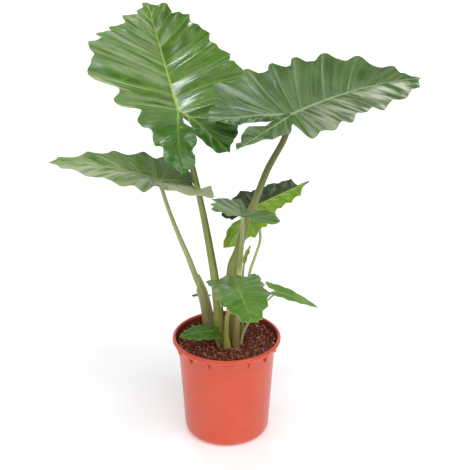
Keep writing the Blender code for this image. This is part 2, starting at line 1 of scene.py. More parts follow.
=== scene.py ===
import math
import random
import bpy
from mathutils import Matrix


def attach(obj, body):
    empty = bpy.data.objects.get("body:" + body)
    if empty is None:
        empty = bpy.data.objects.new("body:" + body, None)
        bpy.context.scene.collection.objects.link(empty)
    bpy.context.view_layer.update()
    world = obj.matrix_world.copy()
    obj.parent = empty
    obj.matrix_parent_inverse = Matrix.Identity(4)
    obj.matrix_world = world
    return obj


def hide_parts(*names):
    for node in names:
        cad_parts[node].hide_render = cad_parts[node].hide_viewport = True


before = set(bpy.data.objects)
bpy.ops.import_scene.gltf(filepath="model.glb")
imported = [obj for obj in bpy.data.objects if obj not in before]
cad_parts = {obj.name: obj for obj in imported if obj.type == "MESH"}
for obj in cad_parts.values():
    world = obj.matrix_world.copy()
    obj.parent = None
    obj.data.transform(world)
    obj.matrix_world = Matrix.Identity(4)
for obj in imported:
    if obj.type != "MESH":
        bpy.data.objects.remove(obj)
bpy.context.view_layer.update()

from types import SimpleNamespace

import bpy
import numpy as np
from mathutils import Vector, noise

# Potted alocasia in a plastic nursery pot. Metres, the viewer stands on the -Y side.
# Every leaf blade and stalk is a finer piece in the place of its CAD node.


# Small tools

def linearColour(hexCode):
    channels = [int(hexCode[i:i + 2], 16) / 255 for i in (1, 3, 5)]
    return (*[c / 12.92 if c <= 0.04045 else ((c + 0.055) / 1.055) ** 2.4 for c in channels], 1.0)


def setInputs(tree, node, inputs):
    # by name or in the node's own order: a number, a hex colour, a socket, or a node for its first live output
    for key, value in inputs.items() if isinstance(inputs, dict) else enumerate(inputs):
        if isinstance(value, bpy.types.Node):
            value = next(socket for socket in value.outputs if socket.enabled)
        if isinstance(value, bpy.types.NodeSocket):
            tree.links.new(value, node.inputs[key])
        else:
            node.inputs[key].default_value = linearColour(value) if isinstance(value, str) else value


def addNode(tree, kind, inputs=(), stops=(), **settings):
    # one shader node with its settings and links
    node = tree.nodes.new("ShaderNode" + kind)
    for name, value in settings.items():
        setattr(node, name, value)
    setInputs(tree, node, inputs)
    if stops:
        elements = node.color_ramp.elements
        while len(elements) < len(stops):
            elements.new(0.5)
        for element, (position, colour) in zip(elements, stops):
            element.position, element.color = position, linearColour(colour)
    return node


def newMaterial(name):
    material = bpy.data.materials.new(name)
    material.use_nodes = True
    return material, material.node_tree, material.node_tree.nodes["Principled BSDF"]


even, soft = "LINEAR", "SMOOTHSTEP"


def layPaint(tree, paint, layers):
    # lays each colour over the ones before, with a share that is the product of its masks
    # a mask: what it is read from, between which values, the share at both ends, and how it changes
    shares = {}
    for layer, colour, *masks in layers:
        if not colour:
            continue
        for *mask, change in masks:
            share = addNode(tree, "MapRange", mask, interpolation_type=change)
            if layer in shares:
                share = addNode(tree, "Math", (shares[layer], share), operation="MULTIPLY")
            shares[layer] = share
        paint = addNode(tree, "Mix", {0: share, 6: paint, 7: colour}, data_type="RGBA")
    return paint, shares


def smoothStep(low, high, value):
    t = np.clip((np.asarray(value, float) - low) / (high - low), 0.0, 1.0)
    return t * t * (3 - 2 * t)


def gridQuads(rows, columns, closed=False):
    # quads of a grid of points; a closed grid joins its last column to the first
    grid = np.arange(rows * columns).reshape(rows, columns)
    after = np.roll(grid, -1, axis=1)
    if not closed:
        grid, after = grid[:, :-1], after[:, :-1]
    return np.stack([grid[:-1], after[:-1], after[1:], grid[1:]], -1).reshape(-1, 4)


def meshObject(name, points, faces, materials, marks=None, faceMaterial=None):
    # marks are named point attributes: one number or three for every point
    mesh = bpy.data.meshes.new(name)
    mesh.from_pydata(np.asarray(points).tolist(), [], faces)
    for key, values in (marks or {}).items():
        values = np.asarray(values, float)
        kind, field = ("FLOAT", "value") if values.ndim == 1 else ("FLOAT_VECTOR", "vector")
        mesh.attributes.new(key, kind, "POINT").data.foreach_set(field, values.ravel())
    for material in materials:
        mesh.materials.append(material)
    if faceMaterial is not None:
        mesh.polygons.foreach_set("material_index", faceMaterial)
    mesh.shade_smooth()
    mesh.update()
    piece = bpy.data.objects.new(name, mesh)
    bpy.context.scene.collection.objects.link(piece)
    return piece


def surfaceNormals(points, faces):
    # point normals of a mesh of triangles and quads, each face counted by its area
    normals = np.zeros_like(points)
    for count in (3, 4):
        group = np.array([f for f in faces if len(f) == count])
        if len(group) == 0:
            continue
        corners = [points[group[:, corner]] for corner in range(count)]
        # the two sides of a triangle at its first corner, or the two diagonals of a quad
        other = corners[1] - corners[0] if count == 3 else corners[3] - corners[1]
        area = np.cross(corners[2] - corners[0], other) * (-1 if count == 3 else 1)
        for corner in range(count):
            np.add.at(normals, group[:, corner], area)
    return normals / np.maximum(np.linalg.norm(normals, axis=1), 1e-12)[:, None]


# Leaf shape: a flat outline of veins, folded and bent into place

bladeThickness = 0.0010
weldDistance = 2e-6
crownHeight = 0.00045          # how far the rib of a long leaf stands up on top
hubSize = 0.014                # the rib below is thicker this near to the stalk
stubLength = 0.012             # at most this much of the stalk belongs to the blade
spineSteps = 400
smallLeaf = 0.12               # a longer leaf has one more vein near its tip
tipVein = (0.965, 0.014)       # where that vein starts, and its reach, both as shares of the length
plainValley = 0.88             # reach in the bay after a vein, as a share
plainTooth = (0.3, 0.75, 1.0)  # share of the bay that falls, share that rises again, how round the teeth are
veinBow = 0.03                 # veins leave wide and turn to the tip
stripLean = math.radians(58)   # the strip beside the notch leaves the basal rib at this angle
plainShape = dict(step=0.0034, wave=(1, 1), pleat=(0.4, 0.4), notch=(1.3, 1.3), cup=(0, 0),
                  tooth=(plainTooth, plainTooth), feet=((), ()), sheath=None)
pairKeys = ("fold", "curl", "lobe", "spread", "hang", "inner", "notch", "wave", "pleat", "cup",
            "tooth", "feet", "veins")
angleKeys = ("fold", "curl", "spread", "hang", "droop", "sweep", "twist", "roll", "rise", "heading")


def oneHalf(leaf, number):
    # the values of one half of a leaf, 0 for the left and 1 for the right, with its angles in radians
    half = SimpleNamespace(**{key: value[number] if key in pairKeys else value for key, value in leaf.items()})
    for key in angleKeys:
        setattr(half, key, math.radians(getattr(half, key)))
    half.number, half.side = number, 2 * number - 1
    half.keel, half.ribWidth = 0.009 * half.length + 0.0003, 0.0010 + 0.0085 * half.length
    half.veins = [(v[0], v[1] / 1000, v[2] if len(v) > 2 else plainValley) for v in half.veins]
    if half.length > smallLeaf and half.veins[0][0] < 0.93:
        half.veins.insert(0, (tipVein[0], tipVein[1] * half.length, plainValley))
    # a vein may start nearer the stalk than its tooth's place in the outline: feet holds (start, root) pairs
    half.starts, half.roots = zip(*sorted([(-1, -1), *half.feet, (1, 1)]))
    half.veinStarts = [float(np.interp(v[0], half.roots, half.starts)) for v in half.veins]
    return half


def veinLine(half, root):
    # foot and direction of the vein that starts at a share of the midrib, or minus a share of the basal rib
    first, last = (math.radians(a) for a in half.veinAngle)
    ahead, behind = np.clip(root, 0, 1), np.clip(-root, 0, 1)
    onMidrib = first + (last - first) * (1 - ahead) ** 0.8
    onLobe = last + (half.spread - last) * behind ** 0.8
    footX = half.lobe * behind * math.sin(half.spread)
    footY = half.length * ahead + half.lobe * behind * math.cos(half.spread)
    return footX, footY, np.where(root >= 0, onMidrib, onLobe)


def veinReach(half, root):
    # distance from the rib to the margin, with a tooth at every vein and a bay after it
    falls, rises, roundness = half.tooth
    roots, reach, valley = (np.array(column, float) for column in zip((1, 0, 1), *half.veins, (-1, 0, 1)))
    i = np.clip(np.searchsorted(-roots, -root, side="right") - 1, 0, len(roots) - 2)
    f = np.clip((roots[i] - root) / (roots[i] - roots[i + 1]), 0, 1)
    last = i == len(roots) - 2
    between = np.where(last, reach[i] * (1 - f) ** 0.7, reach[i] * (1 - f) + reach[i + 1] * f)
    fall = np.sin(0.5 * math.pi * np.clip(f / falls, 0, 1)) ** roundness
    rise = np.sin(0.5 * math.pi * np.clip((1 - f) / rises, 0, 1)) ** roundness
    bay = np.where(last | (i == 0), 1.0, 1 - (1 - valley[i]) * 1.12 * fall * rise)
    wobble = np.sin(14.3 * (i + f) + 1.7 * roots[1]) * np.sin(5.1 * (i + f) + 40 * roots[1])
    return between * (bay + 0.016 * wobble * (i > 0)), i - 1 + f


def veinCourse(half, foot):
    # start, direction and length of a vein, and its place along the margin
    root = np.interp(foot, half.starts, half.roots)
    startX, startY, _ = veinLine(half, foot)
    outX, outY, angle = veinLine(half, root)
    reach, path = veinReach(half, root)
    spanX = outX + reach * np.sin(angle) - startX
    spanY = outY + reach * np.cos(angle) - startY
    angle = np.where(reach > 1e-7, np.arctan2(spanX, spanY), angle)
    return startX, startY, angle, np.hypot(spanX, spanY), path


def placeLeaf(half, x, y, z):
    # folds the halves, curls them, lets the lobes hang, bends the midrib, then turns the leaf to its heading
    curl = half.curl / (0.5 * half.length)
    turn = half.fold - curl * x
    across = half.side * ((math.sin(half.fold) - np.sin(turn)) / curl - z * np.sin(turn))
    height = (np.cos(turn) - math.cos(half.fold)) / curl + z * np.cos(turn)
    rate = (half.hang or 1e-4) / half.lobe
    angle = -rate * np.minimum(y, 0)
    hung = np.stack([across, -np.sin(angle) / rate - height * np.sin(angle),
                     -(1 - np.cos(angle)) / rate + height * np.cos(angle)], -1)
    along = np.linspace(0, 1, spineSteps)
    middle = 0.5 * (along[1:] + along[:-1])
    down, aside = half.droop * middle, half.sweep * middle
    steps = np.stack([np.cos(down) * np.sin(aside), np.cos(down) * np.cos(aside), -np.sin(down)], -1)
    spine = np.vstack([np.zeros(3), np.cumsum(steps * half.length / (len(along) - 1), axis=0)])
    share = np.clip(y, 0, None) / half.length
    down, aside, twist = half.droop * share, half.sweep * share, half.twist * share
    flatX = across * np.cos(twist) + height * np.sin(twist)
    flatZ = -across * np.sin(twist) + height * np.cos(twist)
    forward = flatZ * np.sin(down)
    spineX, spineY, spineZ = (np.interp(share, along, column) for column in spine.T)
    bent = np.stack([spineX + flatX * np.cos(aside) + forward * np.sin(aside),
                     spineY - flatX * np.sin(aside) + forward * np.cos(aside),
                     spineZ + flatZ * np.cos(down)], -1)
    p = np.where((y < 0)[..., None], hung, bent)
    for a, first, second in ((half.roll, 0, 2), (half.rise, 2, 1), (half.heading, 0, 1)):
        u, v = p[..., first].copy(), p[..., second].copy()
        p[..., first], p[..., second] = u * math.cos(a) + v * math.sin(a), -u * math.sin(a) + v * math.cos(a)
    return p + np.array(half.attach)


def placesAlong(count, starts, gap):
    # even places along a rib from 0 to 1, with a close pair beside the start of every vein
    places = set(np.linspace(0, 1, count).round(5))
    for start in starts:
        places = {p for p in places if abs(p - start) > 1.4 * gap} | {start, start - gap, start + gap}
    return np.array(sorted({p for p in places if 0 < p < 1} | {0.0, 1.0}))


def sheetPart(half, x, y, z, path, marks, keel):
    # every grid point: its place, its place in the flat blade, and what the skin needs to know of it
    flat, path, marks = (np.stack(np.broadcast_arrays(*columns), -1).reshape(-1, 3)
                         for columns in ((half.side * x, y, 0 * x), (*path, 0 * x), marks))
    place = placeLeaf(half, x, y, z).reshape(-1, 3)
    return dict(place=place, flat=flat, path=path, marks=marks, keel=keel.ravel())


def bladeHalf(half, midrib, lobe, rng):
    # the blade from the midrib and the basal rib out to the margin
    length = half.length
    roots = np.concatenate([midrib, -lobe[1:]])[:, None]
    footX, footY, angle, reach, path = veinCourse(half, roots)
    # rows: close together beside the rib and at the margin, even between
    nearRows = np.array([0, 0.35, 0.7, 1.0, 1.3, 2.0])
    farRows = np.array([0.0030, 0.0014, 0.0005, 0.0])
    middleRows = max(5, int(reach.max() / (1.15 * half.step)))
    width = half.ribWidth * np.where(roots >= 0, 1 - 0.75 * roots, 0.8 * (1 + 0.7 * roots))
    near = width * nearRows / np.maximum(np.sin(np.minimum(angle, 2.3)), 0.35)
    far = reach - farRows * min(1.0, length / 0.2)
    middle = near[:, -1:] + (far[:, :1] - near[:, -1:]) * np.linspace(0, 1, middleRows + 1)[1:-1]
    designed = np.concatenate([near, middle, far], axis=1)
    plain = np.linspace(0, 1, designed.shape[1])
    limit = near[:, -1:] + 0.004
    weight = np.clip((reach - limit) / limit, 0, 1)
    distance = reach * plain * (1 - weight) + designed * weight
    t = np.where(reach < 1e-7, plain, np.clip(distance / np.maximum(reach, 1e-9), 0, 1))
    bow = veinBow * reach * np.sin(math.pi * t)
    x = footX + distance * np.sin(angle) + bow * np.cos(angle)
    y = footY + distance * np.cos(angle) - bow * np.sin(angle)
    # relief: teeth turn down, bays turn up, and the tissue swells between the veins
    f = np.clip(path - np.floor(path), 0, 1)
    wild = rng.uniform(0.65, 1.35, len(half.veins) + 3)
    wild = np.interp(path, np.arange(len(wild)) - 1, wild)
    wave = np.minimum(0.020 * length, 0.10 * reach) * wild * half.wave
    arch = np.sin(math.pi * f) ** 2
    ruffle = 1 + 0.7 * smoothStep(0.6, 1, t)
    z = wave * ruffle * (-0.9 * t ** 2 * (1 - arch) + 0.5 * smoothStep(0, 0.45, t) * arch)
    # two smaller veins in every bay
    lesser = half.pleat * np.abs(np.sin(3 * math.pi * f)) ** 0.7 * smoothStep(0.05, 0.4, t)
    swell = 0.0075 * length * np.clip(reach / (0.2 * length), 0, 1)
    z = z + swell * ((4 * f * (1 - f)) ** 0.62 + lesser) * np.sin(math.pi * t ** 0.6) ** 0.8
    ripple = np.sin(path * 9.1 + 5 * t + half.seed) * np.sin(3.3 * path + 9 * t)
    z = z + 0.0022 * length * ripple * smoothStep(0.25, 0.9, t)
    z[:, 0] = 0.0
    # distance to the nearest vein, in the flat blade
    veinGap = np.full_like(x, 1.0)
    for i, start in enumerate(half.veinStarts):
        vx, vy, va, vr, _ = (float(value[0]) for value in veinCourse(half, np.array([start])))
        bow = veinBow * vr * np.sin(math.pi * t)
        px = vx + t * vr * math.sin(va) + bow * math.cos(va)
        py = vy + t * vr * math.cos(va) - bow * math.sin(va)
        gap = np.abs((x - px) * math.cos(va) - (y - py) * math.sin(va))
        veinGap = np.where(np.abs(path - i) < 1, np.minimum(veinGap, gap), veinGap)
    veinWidth = half.ribWidth * 0.27 * (1 - 0.78 * t) + 0.0001
    lobeGap = np.abs(x * math.cos(half.spread) - y * math.sin(half.spread))
    ribShare = np.where(roots >= 0, np.abs(x), lobeGap) / np.maximum(width, 0.0004)
    keel = half.keel * np.where(roots >= 0, 1 - 0.9 * roots, 0.7 * (1 + roots))
    keel = keel * np.sqrt(np.clip(1 - ribShare ** 2, 0, 1))
    ridge = 0.11 * half.keel * (1 - t) ** 0.7 * np.clip(1 - veinGap / (1.6 * veinWidth), 0, 1)
    marks = (veinGap / veinWidth, ribShare, (reach - distance) * 1000)
    part = sheetPart(half, x, y, z, (path + 40 * half.number, t), marks, np.maximum(keel, ridge))
    return part, gridQuads(*x.shape)


def notchStrip(half, lobe):
    # the strip between the basal rib and the notch behind the stalk
    length, rib, spread = half.length, half.lobe, half.spread
    share = lobe[:, None]
    across = np.array([0, 0.06, 0.13, 0.22, 0.34, 0.48, 0.62, 0.76, 0.88, 0.96, 1.0])
    full = half.inner * rib * np.sin(math.pi * share ** half.notch) ** 0.8
    edge = 1 + 0.13 * np.sin(13 * share + half.seed) + 0.06 * np.sin(31 * share)
    full = np.where(share < 1e-6, 0, full) * edge
    x = rib * share * math.sin(spread) + full * across * math.sin(spread + stripLean)
    y = rib * share * math.cos(spread) + full * across * math.cos(spread + stripLean)
    wave = 1.1 * min(0.020 * length, 0.05 * rib) * across ** 1.5 * np.sin(14 * share + half.seed)
    swell = 0.006 * length * np.sin(math.pi * across) * np.sin(math.pi * share)
    z = wave + swell * (1 + 0.6 * np.sin(19 * share)) + half.cup * full * across ** 2
    ribShare = full * across * math.sin(stripLean) / (0.8 * half.ribWidth * (1 - 0.7 * share) + 1e-4)
    keel = 0.7 * half.keel * (1 - share) * np.sqrt(np.clip(1 - ribShare ** 2, 0, 1))
    part = sheetPart(half, x, y, z, (80 + 5 * share, across), (9, ribShare, full * (1 - across) * 1000), keel)
    return part, gridQuads(*x.shape)[:, [0, 3, 2, 1]]


def leafSheet(leaf):
    # the blade's middle surface: points with their values, and faces, welded along the ribs
    rng = np.random.default_rng(leaf["seed"])
    halves = oneHalf(leaf, 0), oneHalf(leaf, 1)
    starts = [start for half in halves for start in half.veinStarts if start > 0]
    midrib = placesAlong(int(leaf["length"] / leaf["step"]) + 2, starts, 0.0010 / leaf["length"])[::-1]
    parts, faces, offset = [], [], 0
    for half in halves:
        starts = [-start for start in half.veinStarts if start < 0]
        lobe = placesAlong(max(6, int(half.lobe / half.step)), starts, 0.0012 / half.lobe)
        for part, quads in (bladeHalf(half, midrib, lobe, rng), notchStrip(half, lobe)):
            parts.append(part)
            faces.append(offset + (quads[:, ::-1] if half.number else quads))
            offset += len(part["keel"])
    data = {key: np.concatenate([p[key] for p in parts]) for key in parts[0]}
    keys = np.round(data["place"] / weldDistance).astype(np.int64)
    _, firsts, back = np.unique(keys, axis=0, return_index=True, return_inverse=True)
    data = {key: values[firsts] for key, values in data.items()}
    welded = []
    for quad in back.ravel()[np.concatenate(faces)].tolist():
        corners = [c for i, c in enumerate(quad) if c != quad[i - 1]]
        if len(set(corners)) == len(corners) >= 3:
            welded.append(tuple(corners))
    return data, welded


def edgeLoop(faces):
    # edges that only one face has, in that face's direction
    seen = {(a, face[(i + 1) % len(face)]): True for face in faces for i, a in enumerate(face)}
    return [(a, b) for a, b in seen if (b, a) not in seen]


def tubeGrid(centres, directions, radii, sides, depth=1.0):
    # rings of points round a path, with closed ends; radii is a column of numbers or one number a point
    turns = np.linspace(0, math.tau, sides, endpoint=False)
    across = np.cross([0.0, 1.0, 0.0], directions)
    behind = np.cross(directions, across)
    across, behind = (v / np.linalg.norm(v, axis=1)[:, None] for v in (across, behind))
    points = (np.asarray(centres)[:, None] + (radii * np.cos(turns))[..., None] * across[:, None]
              + (radii * np.sin(turns) * depth)[..., None] * behind[:, None])
    last = (len(centres) - 1) * sides
    faces = [tuple(q) for q in gridQuads(len(centres), sides, closed=True).tolist()]
    faces += [tuple(range(sides - 1, -1, -1)), tuple(range(last, last + sides))]
    return points.reshape(-1, 3), faces, turns


def roundPlace(turns, heights):
    # place round and along a stalk, for its skin
    count = len(heights)
    return np.stack([np.tile(np.cos(turns), count), np.tile(np.sin(turns), count),
                     np.repeat(heights, len(turns))], -1)


def leafStub(leaf):
    # the end of the stalk that belongs to the blade: its top, direction, radius and length
    joint = np.array(leaf["attach"])
    down = np.array(leaf["stalk"][-1][:3]) - joint
    down /= np.linalg.norm(down)
    radius = leaf["stalk"][-1][3] * 0.92
    return joint, down, radius, min(stubLength, 3 * radius)


def makeBlade(name, leaf, skin, stalkSkin):
    data, faces = leafSheet(leaf)
    middle = data["place"]
    normal = surfaceNormals(middle, faces)
    count = len(middle)
    half = 0.5 * bladeThickness * min(1.0, 0.6 + leaf["length"] * 1.2)
    taper = 0.35 + 0.65 * smoothStep(0, 2.5, data["marks"][:, 2])
    hub = np.linalg.norm(middle - np.array(leaf["attach"]), axis=1)
    keel = data["keel"] * (1 + 0.5 * np.exp(-(hub / hubSize) ** 2))
    crown = crownHeight * np.clip(1 - data["marks"][:, 1] ** 2, 0, 1) * min(1, leaf["length"] / 0.3)
    upper = middle + normal * (half * taper + crown)[:, None]
    lower = middle - normal * (half * taper + keel)[:, None]
    rim = [(b, a, a + count, b + count) for a, b in edgeLoop(faces)]
    allFaces = faces + [tuple(c + count for c in f[::-1]) for f in faces] + rim
    path = np.concatenate([data["path"], data["path"] + np.array([0, 0, 1.0])])
    marks, flat = np.tile(data["marks"], (2, 1)), np.tile(data["flat"], (2, 1))
    flat[:, 2] = leaf["seed"]
    # short end of the stalk that spreads into the ribs under the blade
    joint, down, radius, length = leafStub(leaf)
    shares = np.linspace(0.06, 1.0, 12)[:, None]
    radii = radius * (0.34 + 0.66 * smoothStep(0, 0.75, shares))
    stub, stubFaces, turns = tubeGrid(joint + down * length * shares, [down] * len(shares), radii, 24)
    total = 2 * count
    faceKind = [0] * len(allFaces) + [1] * len(stubFaces)
    allFaces += [tuple(c + total for c in f) for f in stubFaces]
    zeros = np.zeros((len(stub), 3))
    attributes = {
        "veinPath": np.vstack([path, zeros]), "veinMarks": np.vstack([marks, zeros + 9]),
        "flatPlace": np.vstack([flat, zeros]), "stalkShare": np.ones(total + len(stub)),
        "stalkRound": np.vstack([np.zeros((total, 3)), roundPlace(-turns, -length * shares.ravel())])}
    points = np.vstack([upper, lower, stub])
    piece = meshObject("leaf_" + name, points, allFaces, [skin, stalkSkin], attributes, faceKind)
    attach(piece, "root")
    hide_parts("blade_" + name)
    return piece


def smoothPath(points, spans):
    # a smooth curve through points of any size
    pts = np.array([points[0]] + list(points) + [points[-1]], float)
    out = []
    for p0, p1, p2, p3 in zip(pts[:-3], pts[1:-2], pts[2:-1], pts[3:]):
        for t in np.linspace(0, 1, spans, endpoint=False):
            bend = (2 * p0 - 5 * p1 + 4 * p2 - p3) * t ** 2 + (3 * p1 - p0 - 3 * p2 + p3) * t ** 3
            out.append(0.5 * (2 * p1 + (p2 - p0) * t + bend))
    return np.array(out + [pts[-2]])


stalkFoot = 0.200   # the stalks end below the surface of the soil
soilLine = 0.229


def sheathProfile(sheath, height, turns, profile):
    # the base of the stalk is a sheath rolled round it, with a free edge and a mouth on one side
    top = sheath["top"]
    mouth = top - sheath["drop"] * 0.5 * (1 - np.cos(turns - math.radians(sheath["side"])))
    inside = smoothStep(0, 1, (mouth - height) / sheath["lip"])
    above = np.interp(top + 0.02, height[:, 0], profile[:, 0])
    core = np.interp(height, [soilLine, top], [sheath["core"], above])
    outer = np.interp(height, sheath["heights"], sheath["radii"])
    seam = np.mod(turns - math.radians(sheath["seam"]), math.tau) / math.tau
    wrap = 1 + sheath["step"] * smoothStep(0.0, 0.06, seam) * (1 - seam)
    return np.where(height < top + 0.02, core * (1 - inside) + outer * wrap * inside, profile)


def makeStalk(name, leaf, skin):
    joint, down, radius, length = leafStub(leaf)
    end = joint + down * (length + 0.0002)
    path = smoothPath(list(leaf["stalk"]) + [(*end, radius)], 14)
    heading = np.gradient(path[:, :3], axis=0)
    heading[-1] = -down
    heading[0] = (0, 0, 1)
    path = np.vstack([path[:1], path])
    path[0, 2] = stalkFoot
    heading = np.vstack([[0, 0, 1.0], heading])
    centres, radii = path[:, :3], path[:, 3:]
    height, sides = centres[:, 2:], 32 if radii.max() > 0.006 else 20
    turns = np.linspace(0, math.tau, sides, endpoint=False)
    along = np.concatenate([[0], np.cumsum(np.linalg.norm(np.diff(centres, axis=0), axis=1))])
    profile, depth, sheath = radii * np.ones(sides), 1.0, leaf["sheath"]
    if sheath:
        profile = sheathProfile(sheath, height, turns, profile)
        swollen = smoothStep(0.23, 0.33, height) * (1 - smoothStep(0.38, 0.45, height))
        depth = 1 - (1 - sheath.get("flat", 1)) * swollen
    ribbing = 1 + 0.012 * np.cos(9 * turns) + 0.010 * np.sin(along * 55 + leaf["seed"])[:, None]
    points, faces, _ = tubeGrid(centres, heading, profile * ribbing, sides, depth)
    attributes = {"stalkRound": roundPlace(turns, along - along[-1]),
                  "stalkShare": np.repeat(along / along[-1], sides)}
    piece = meshObject("petiole_" + name, points, faces, [skin], attributes)
    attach(piece, "root")
    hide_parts("stalk_" + name)
    return piece


# Leaf skins

plainLeaf = dict(
    streaks=0.35, crest=0.40, bloomSide=1, bloomLeast=0.0, bloomMost=0.7, bloomFull=0.1, bloomFirst=0.5,
    halo=0.22, veins=0.8, edgeIn=0.3, edgeOut=1.6, otherLobe=1.0, turnedFrom=0, turnedTo=1, tipFrom=0,
    gloss=0.20, wax=0.5, coat=0.06, through=0.10,
    # colours that only some leaves have
    bloom=None, lobeWax=None, turned=None, lobes=None, paleLobe=None, farHalf=None, tip=None)


def leafSkin(name, tone):
    # living leaf: waxy cuticle over green tissue, which gives a satin shine on top and a dull pale underside
    material, tree, shader = newMaterial(name)
    tone = SimpleNamespace(**dict(plainLeaf, **tone))
    path, marks, flat = (addNode(tree, "Attribute", attribute_name=key).outputs["Vector"]
                         for key in ("veinPath", "veinMarks", "flatPlace"))
    alongMargin, _, isUnder = addNode(tree, "SeparateXYZ", [path]).outputs
    veinGap, ribGap, edgeGap = addNode(tree, "SeparateXYZ", [marks]).outputs
    flatX, flatY, _ = addNode(tree, "SeparateXYZ", [flat]).outputs
    # blotches a few centimetres across, as tissue ages unevenly
    blotch = addNode(tree, "TexNoise", {"Vector": flat, "Scale": 22.0, "Detail": 3.0, "Roughness": 0.55})
    # fine side veins that run with the main ones, about 2 mm apart
    streak = addNode(tree, "TexNoise", {
        "Vector": addNode(tree, "VectorMath", (path, (8.0, 0.8, 0.0)), operation="MULTIPLY"),
        "Scale": 1.0, "Detail": 3.0, "Roughness": 0.62})
    # broader bands, for the leaves that have a painted sheen
    band = tone.bloom and addNode(tree, "TexNoise", {
        "Vector": addNode(tree, "VectorMath", (path, (3.4, 0.9, 0.0)), operation="MULTIPLY"),
        "Scale": 1.0, "Detail": 3.0, "Roughness": 0.55})
    # net of veinlets, 4 mm cells
    net = addNode(tree, "TexVoronoi", {"Vector": flat, "Scale": 250.0}, feature="DISTANCE_TO_EDGE")
    paint = addNode(tree, "ValToRGB", [blotch], stops=[(0.3, tone.dark), (0.5, tone.mid), (0.7, tone.light)])
    side, turnedFrom, turnedTo = tone.bloomSide, tone.turnedFrom, tone.turnedTo
    paint, shares = layPaint(tree, paint, (
        ("streak", tone.streak, (streak, 0.44, 0.62, 0, tone.streaks, even)),
        # painted sheen: pale grey on the crests, mostly on one half, standing in for light glancing off the wax
        ("bloom", tone.bloom, (flatX, -0.004 * side, 0.012 * side, tone.bloomLeast, tone.bloomMost, even),
         (band, tone.crest, 0.62, 0, 1, soft), (flatY, -0.05, tone.bloomFull, tone.bloomFirst, 1, even)),
        # painted highlight: bluish-white streaks on the lobe of the other half
        ("lobeWax", tone.lobeWax, (flatY, -0.055, 0, 0.45, 0, soft), (flatX, 0, -0.012 * side, 0, 1, even),
         (band, 0.50, 0.60, 0, 1, soft)),
        ("net", tone.vein, (net, 0, 0.12, 0.18, 0, even)),
        # main side veins, paler, and the flush of lighter tissue beside them
        ("halo", tone.vein, (veinGap, 1, 7, tone.halo, 0, soft)),
        ("line", tone.vein, (veinGap, 0.55, 1.35, tone.veins, 0, soft)),
        ("rib", tone.rib, (ribGap, 0.75, 1.15, 1, 0, soft)),
        ("edge", tone.edge, (edgeGap, tone.edgeIn, tone.edgeOut, 0.85, 0, soft)),
        # a stretch of the margin painted the pale colour of the underside, where the real margin folds under;
        # the blade itself does not fold here
        ("turned", tone.turned, (alongMargin, turnedFrom, turnedFrom + 0.15, 0, 1, soft),
         (alongMargin, turnedTo - 0.15, turnedTo, 1, 0, soft), (edgeGap, 22, 30, 0.85, 0, soft)),
        # the lobes behind the stalk are painted a deeper green: partly their own colour, partly painted shade
        # where they hang under the blades
        ("lobes", tone.lobes, (flatY, -0.09, 0.01, 0.65, 0, soft), (flatX, 0, 0.012, tone.otherLobe, 1, even)),
        # one lobe is painted pale: painted sheen, the light it catches
        ("paleLobe", tone.paleLobe, (flatY, -0.035, 0, 0.85, 0, soft), (flatX, 0, -0.01, 0, 1, even)),
        # one half is painted dark: painted shade of the far half against the bright near half
        ("farHalf", tone.farHalf, (flatX, -0.0022, -0.0008, 0.88, 0, even)),
        # the drip tip dries first
        ("tip", tone.tip, (flatY, tone.tipFrom, tone.tipFrom + 0.012, 0, 0.85, even))))
    # the underside is paler, and its veins are paler still
    under = addNode(tree, "Mix", {0: 0.55, 6: paint, 7: tone.under}, data_type="RGBA")
    veined = addNode(tree, "Math", (shares["line"], shares["rib"]), operation="MAXIMUM")
    veined = addNode(tree, "Math", (veined, 0.6), operation="MULTIPLY")
    under = addNode(tree, "Mix", {0: veined, 6: under, 7: "#CCD4A8"}, data_type="RGBA")
    shine = addNode(tree, "MapRange", (blotch, 0.3, 0.7, tone.gloss, tone.gloss + 0.10))
    height = addNode(tree, "Math", (streak, 0.6), operation="MULTIPLY")
    height = addNode(tree, "Math", (height, shares["net"]), operation="SUBTRACT")
    setInputs(tree, shader, {
        "Base Color": addNode(tree, "Mix", {0: isUnder, 6: paint, 7: under}, data_type="RGBA"),
        "Roughness": addNode(tree, "Mix", {0: isUnder, 2: shine, 3: 0.55}, data_type="FLOAT"),
        "Normal": addNode(tree, "Bump", {"Strength": 0.45, "Distance": 0.0009, "Height": height}),
        "IOR": 1.45, "Specular IOR Level": tone.wax, "Subsurface Weight": tone.through,
        "Subsurface Radius": (0.8, 1.0, 0.3), "Subsurface Scale": 0.0012,
        "Coat Weight": tone.coat, "Coat Roughness": 0.22})
    return material


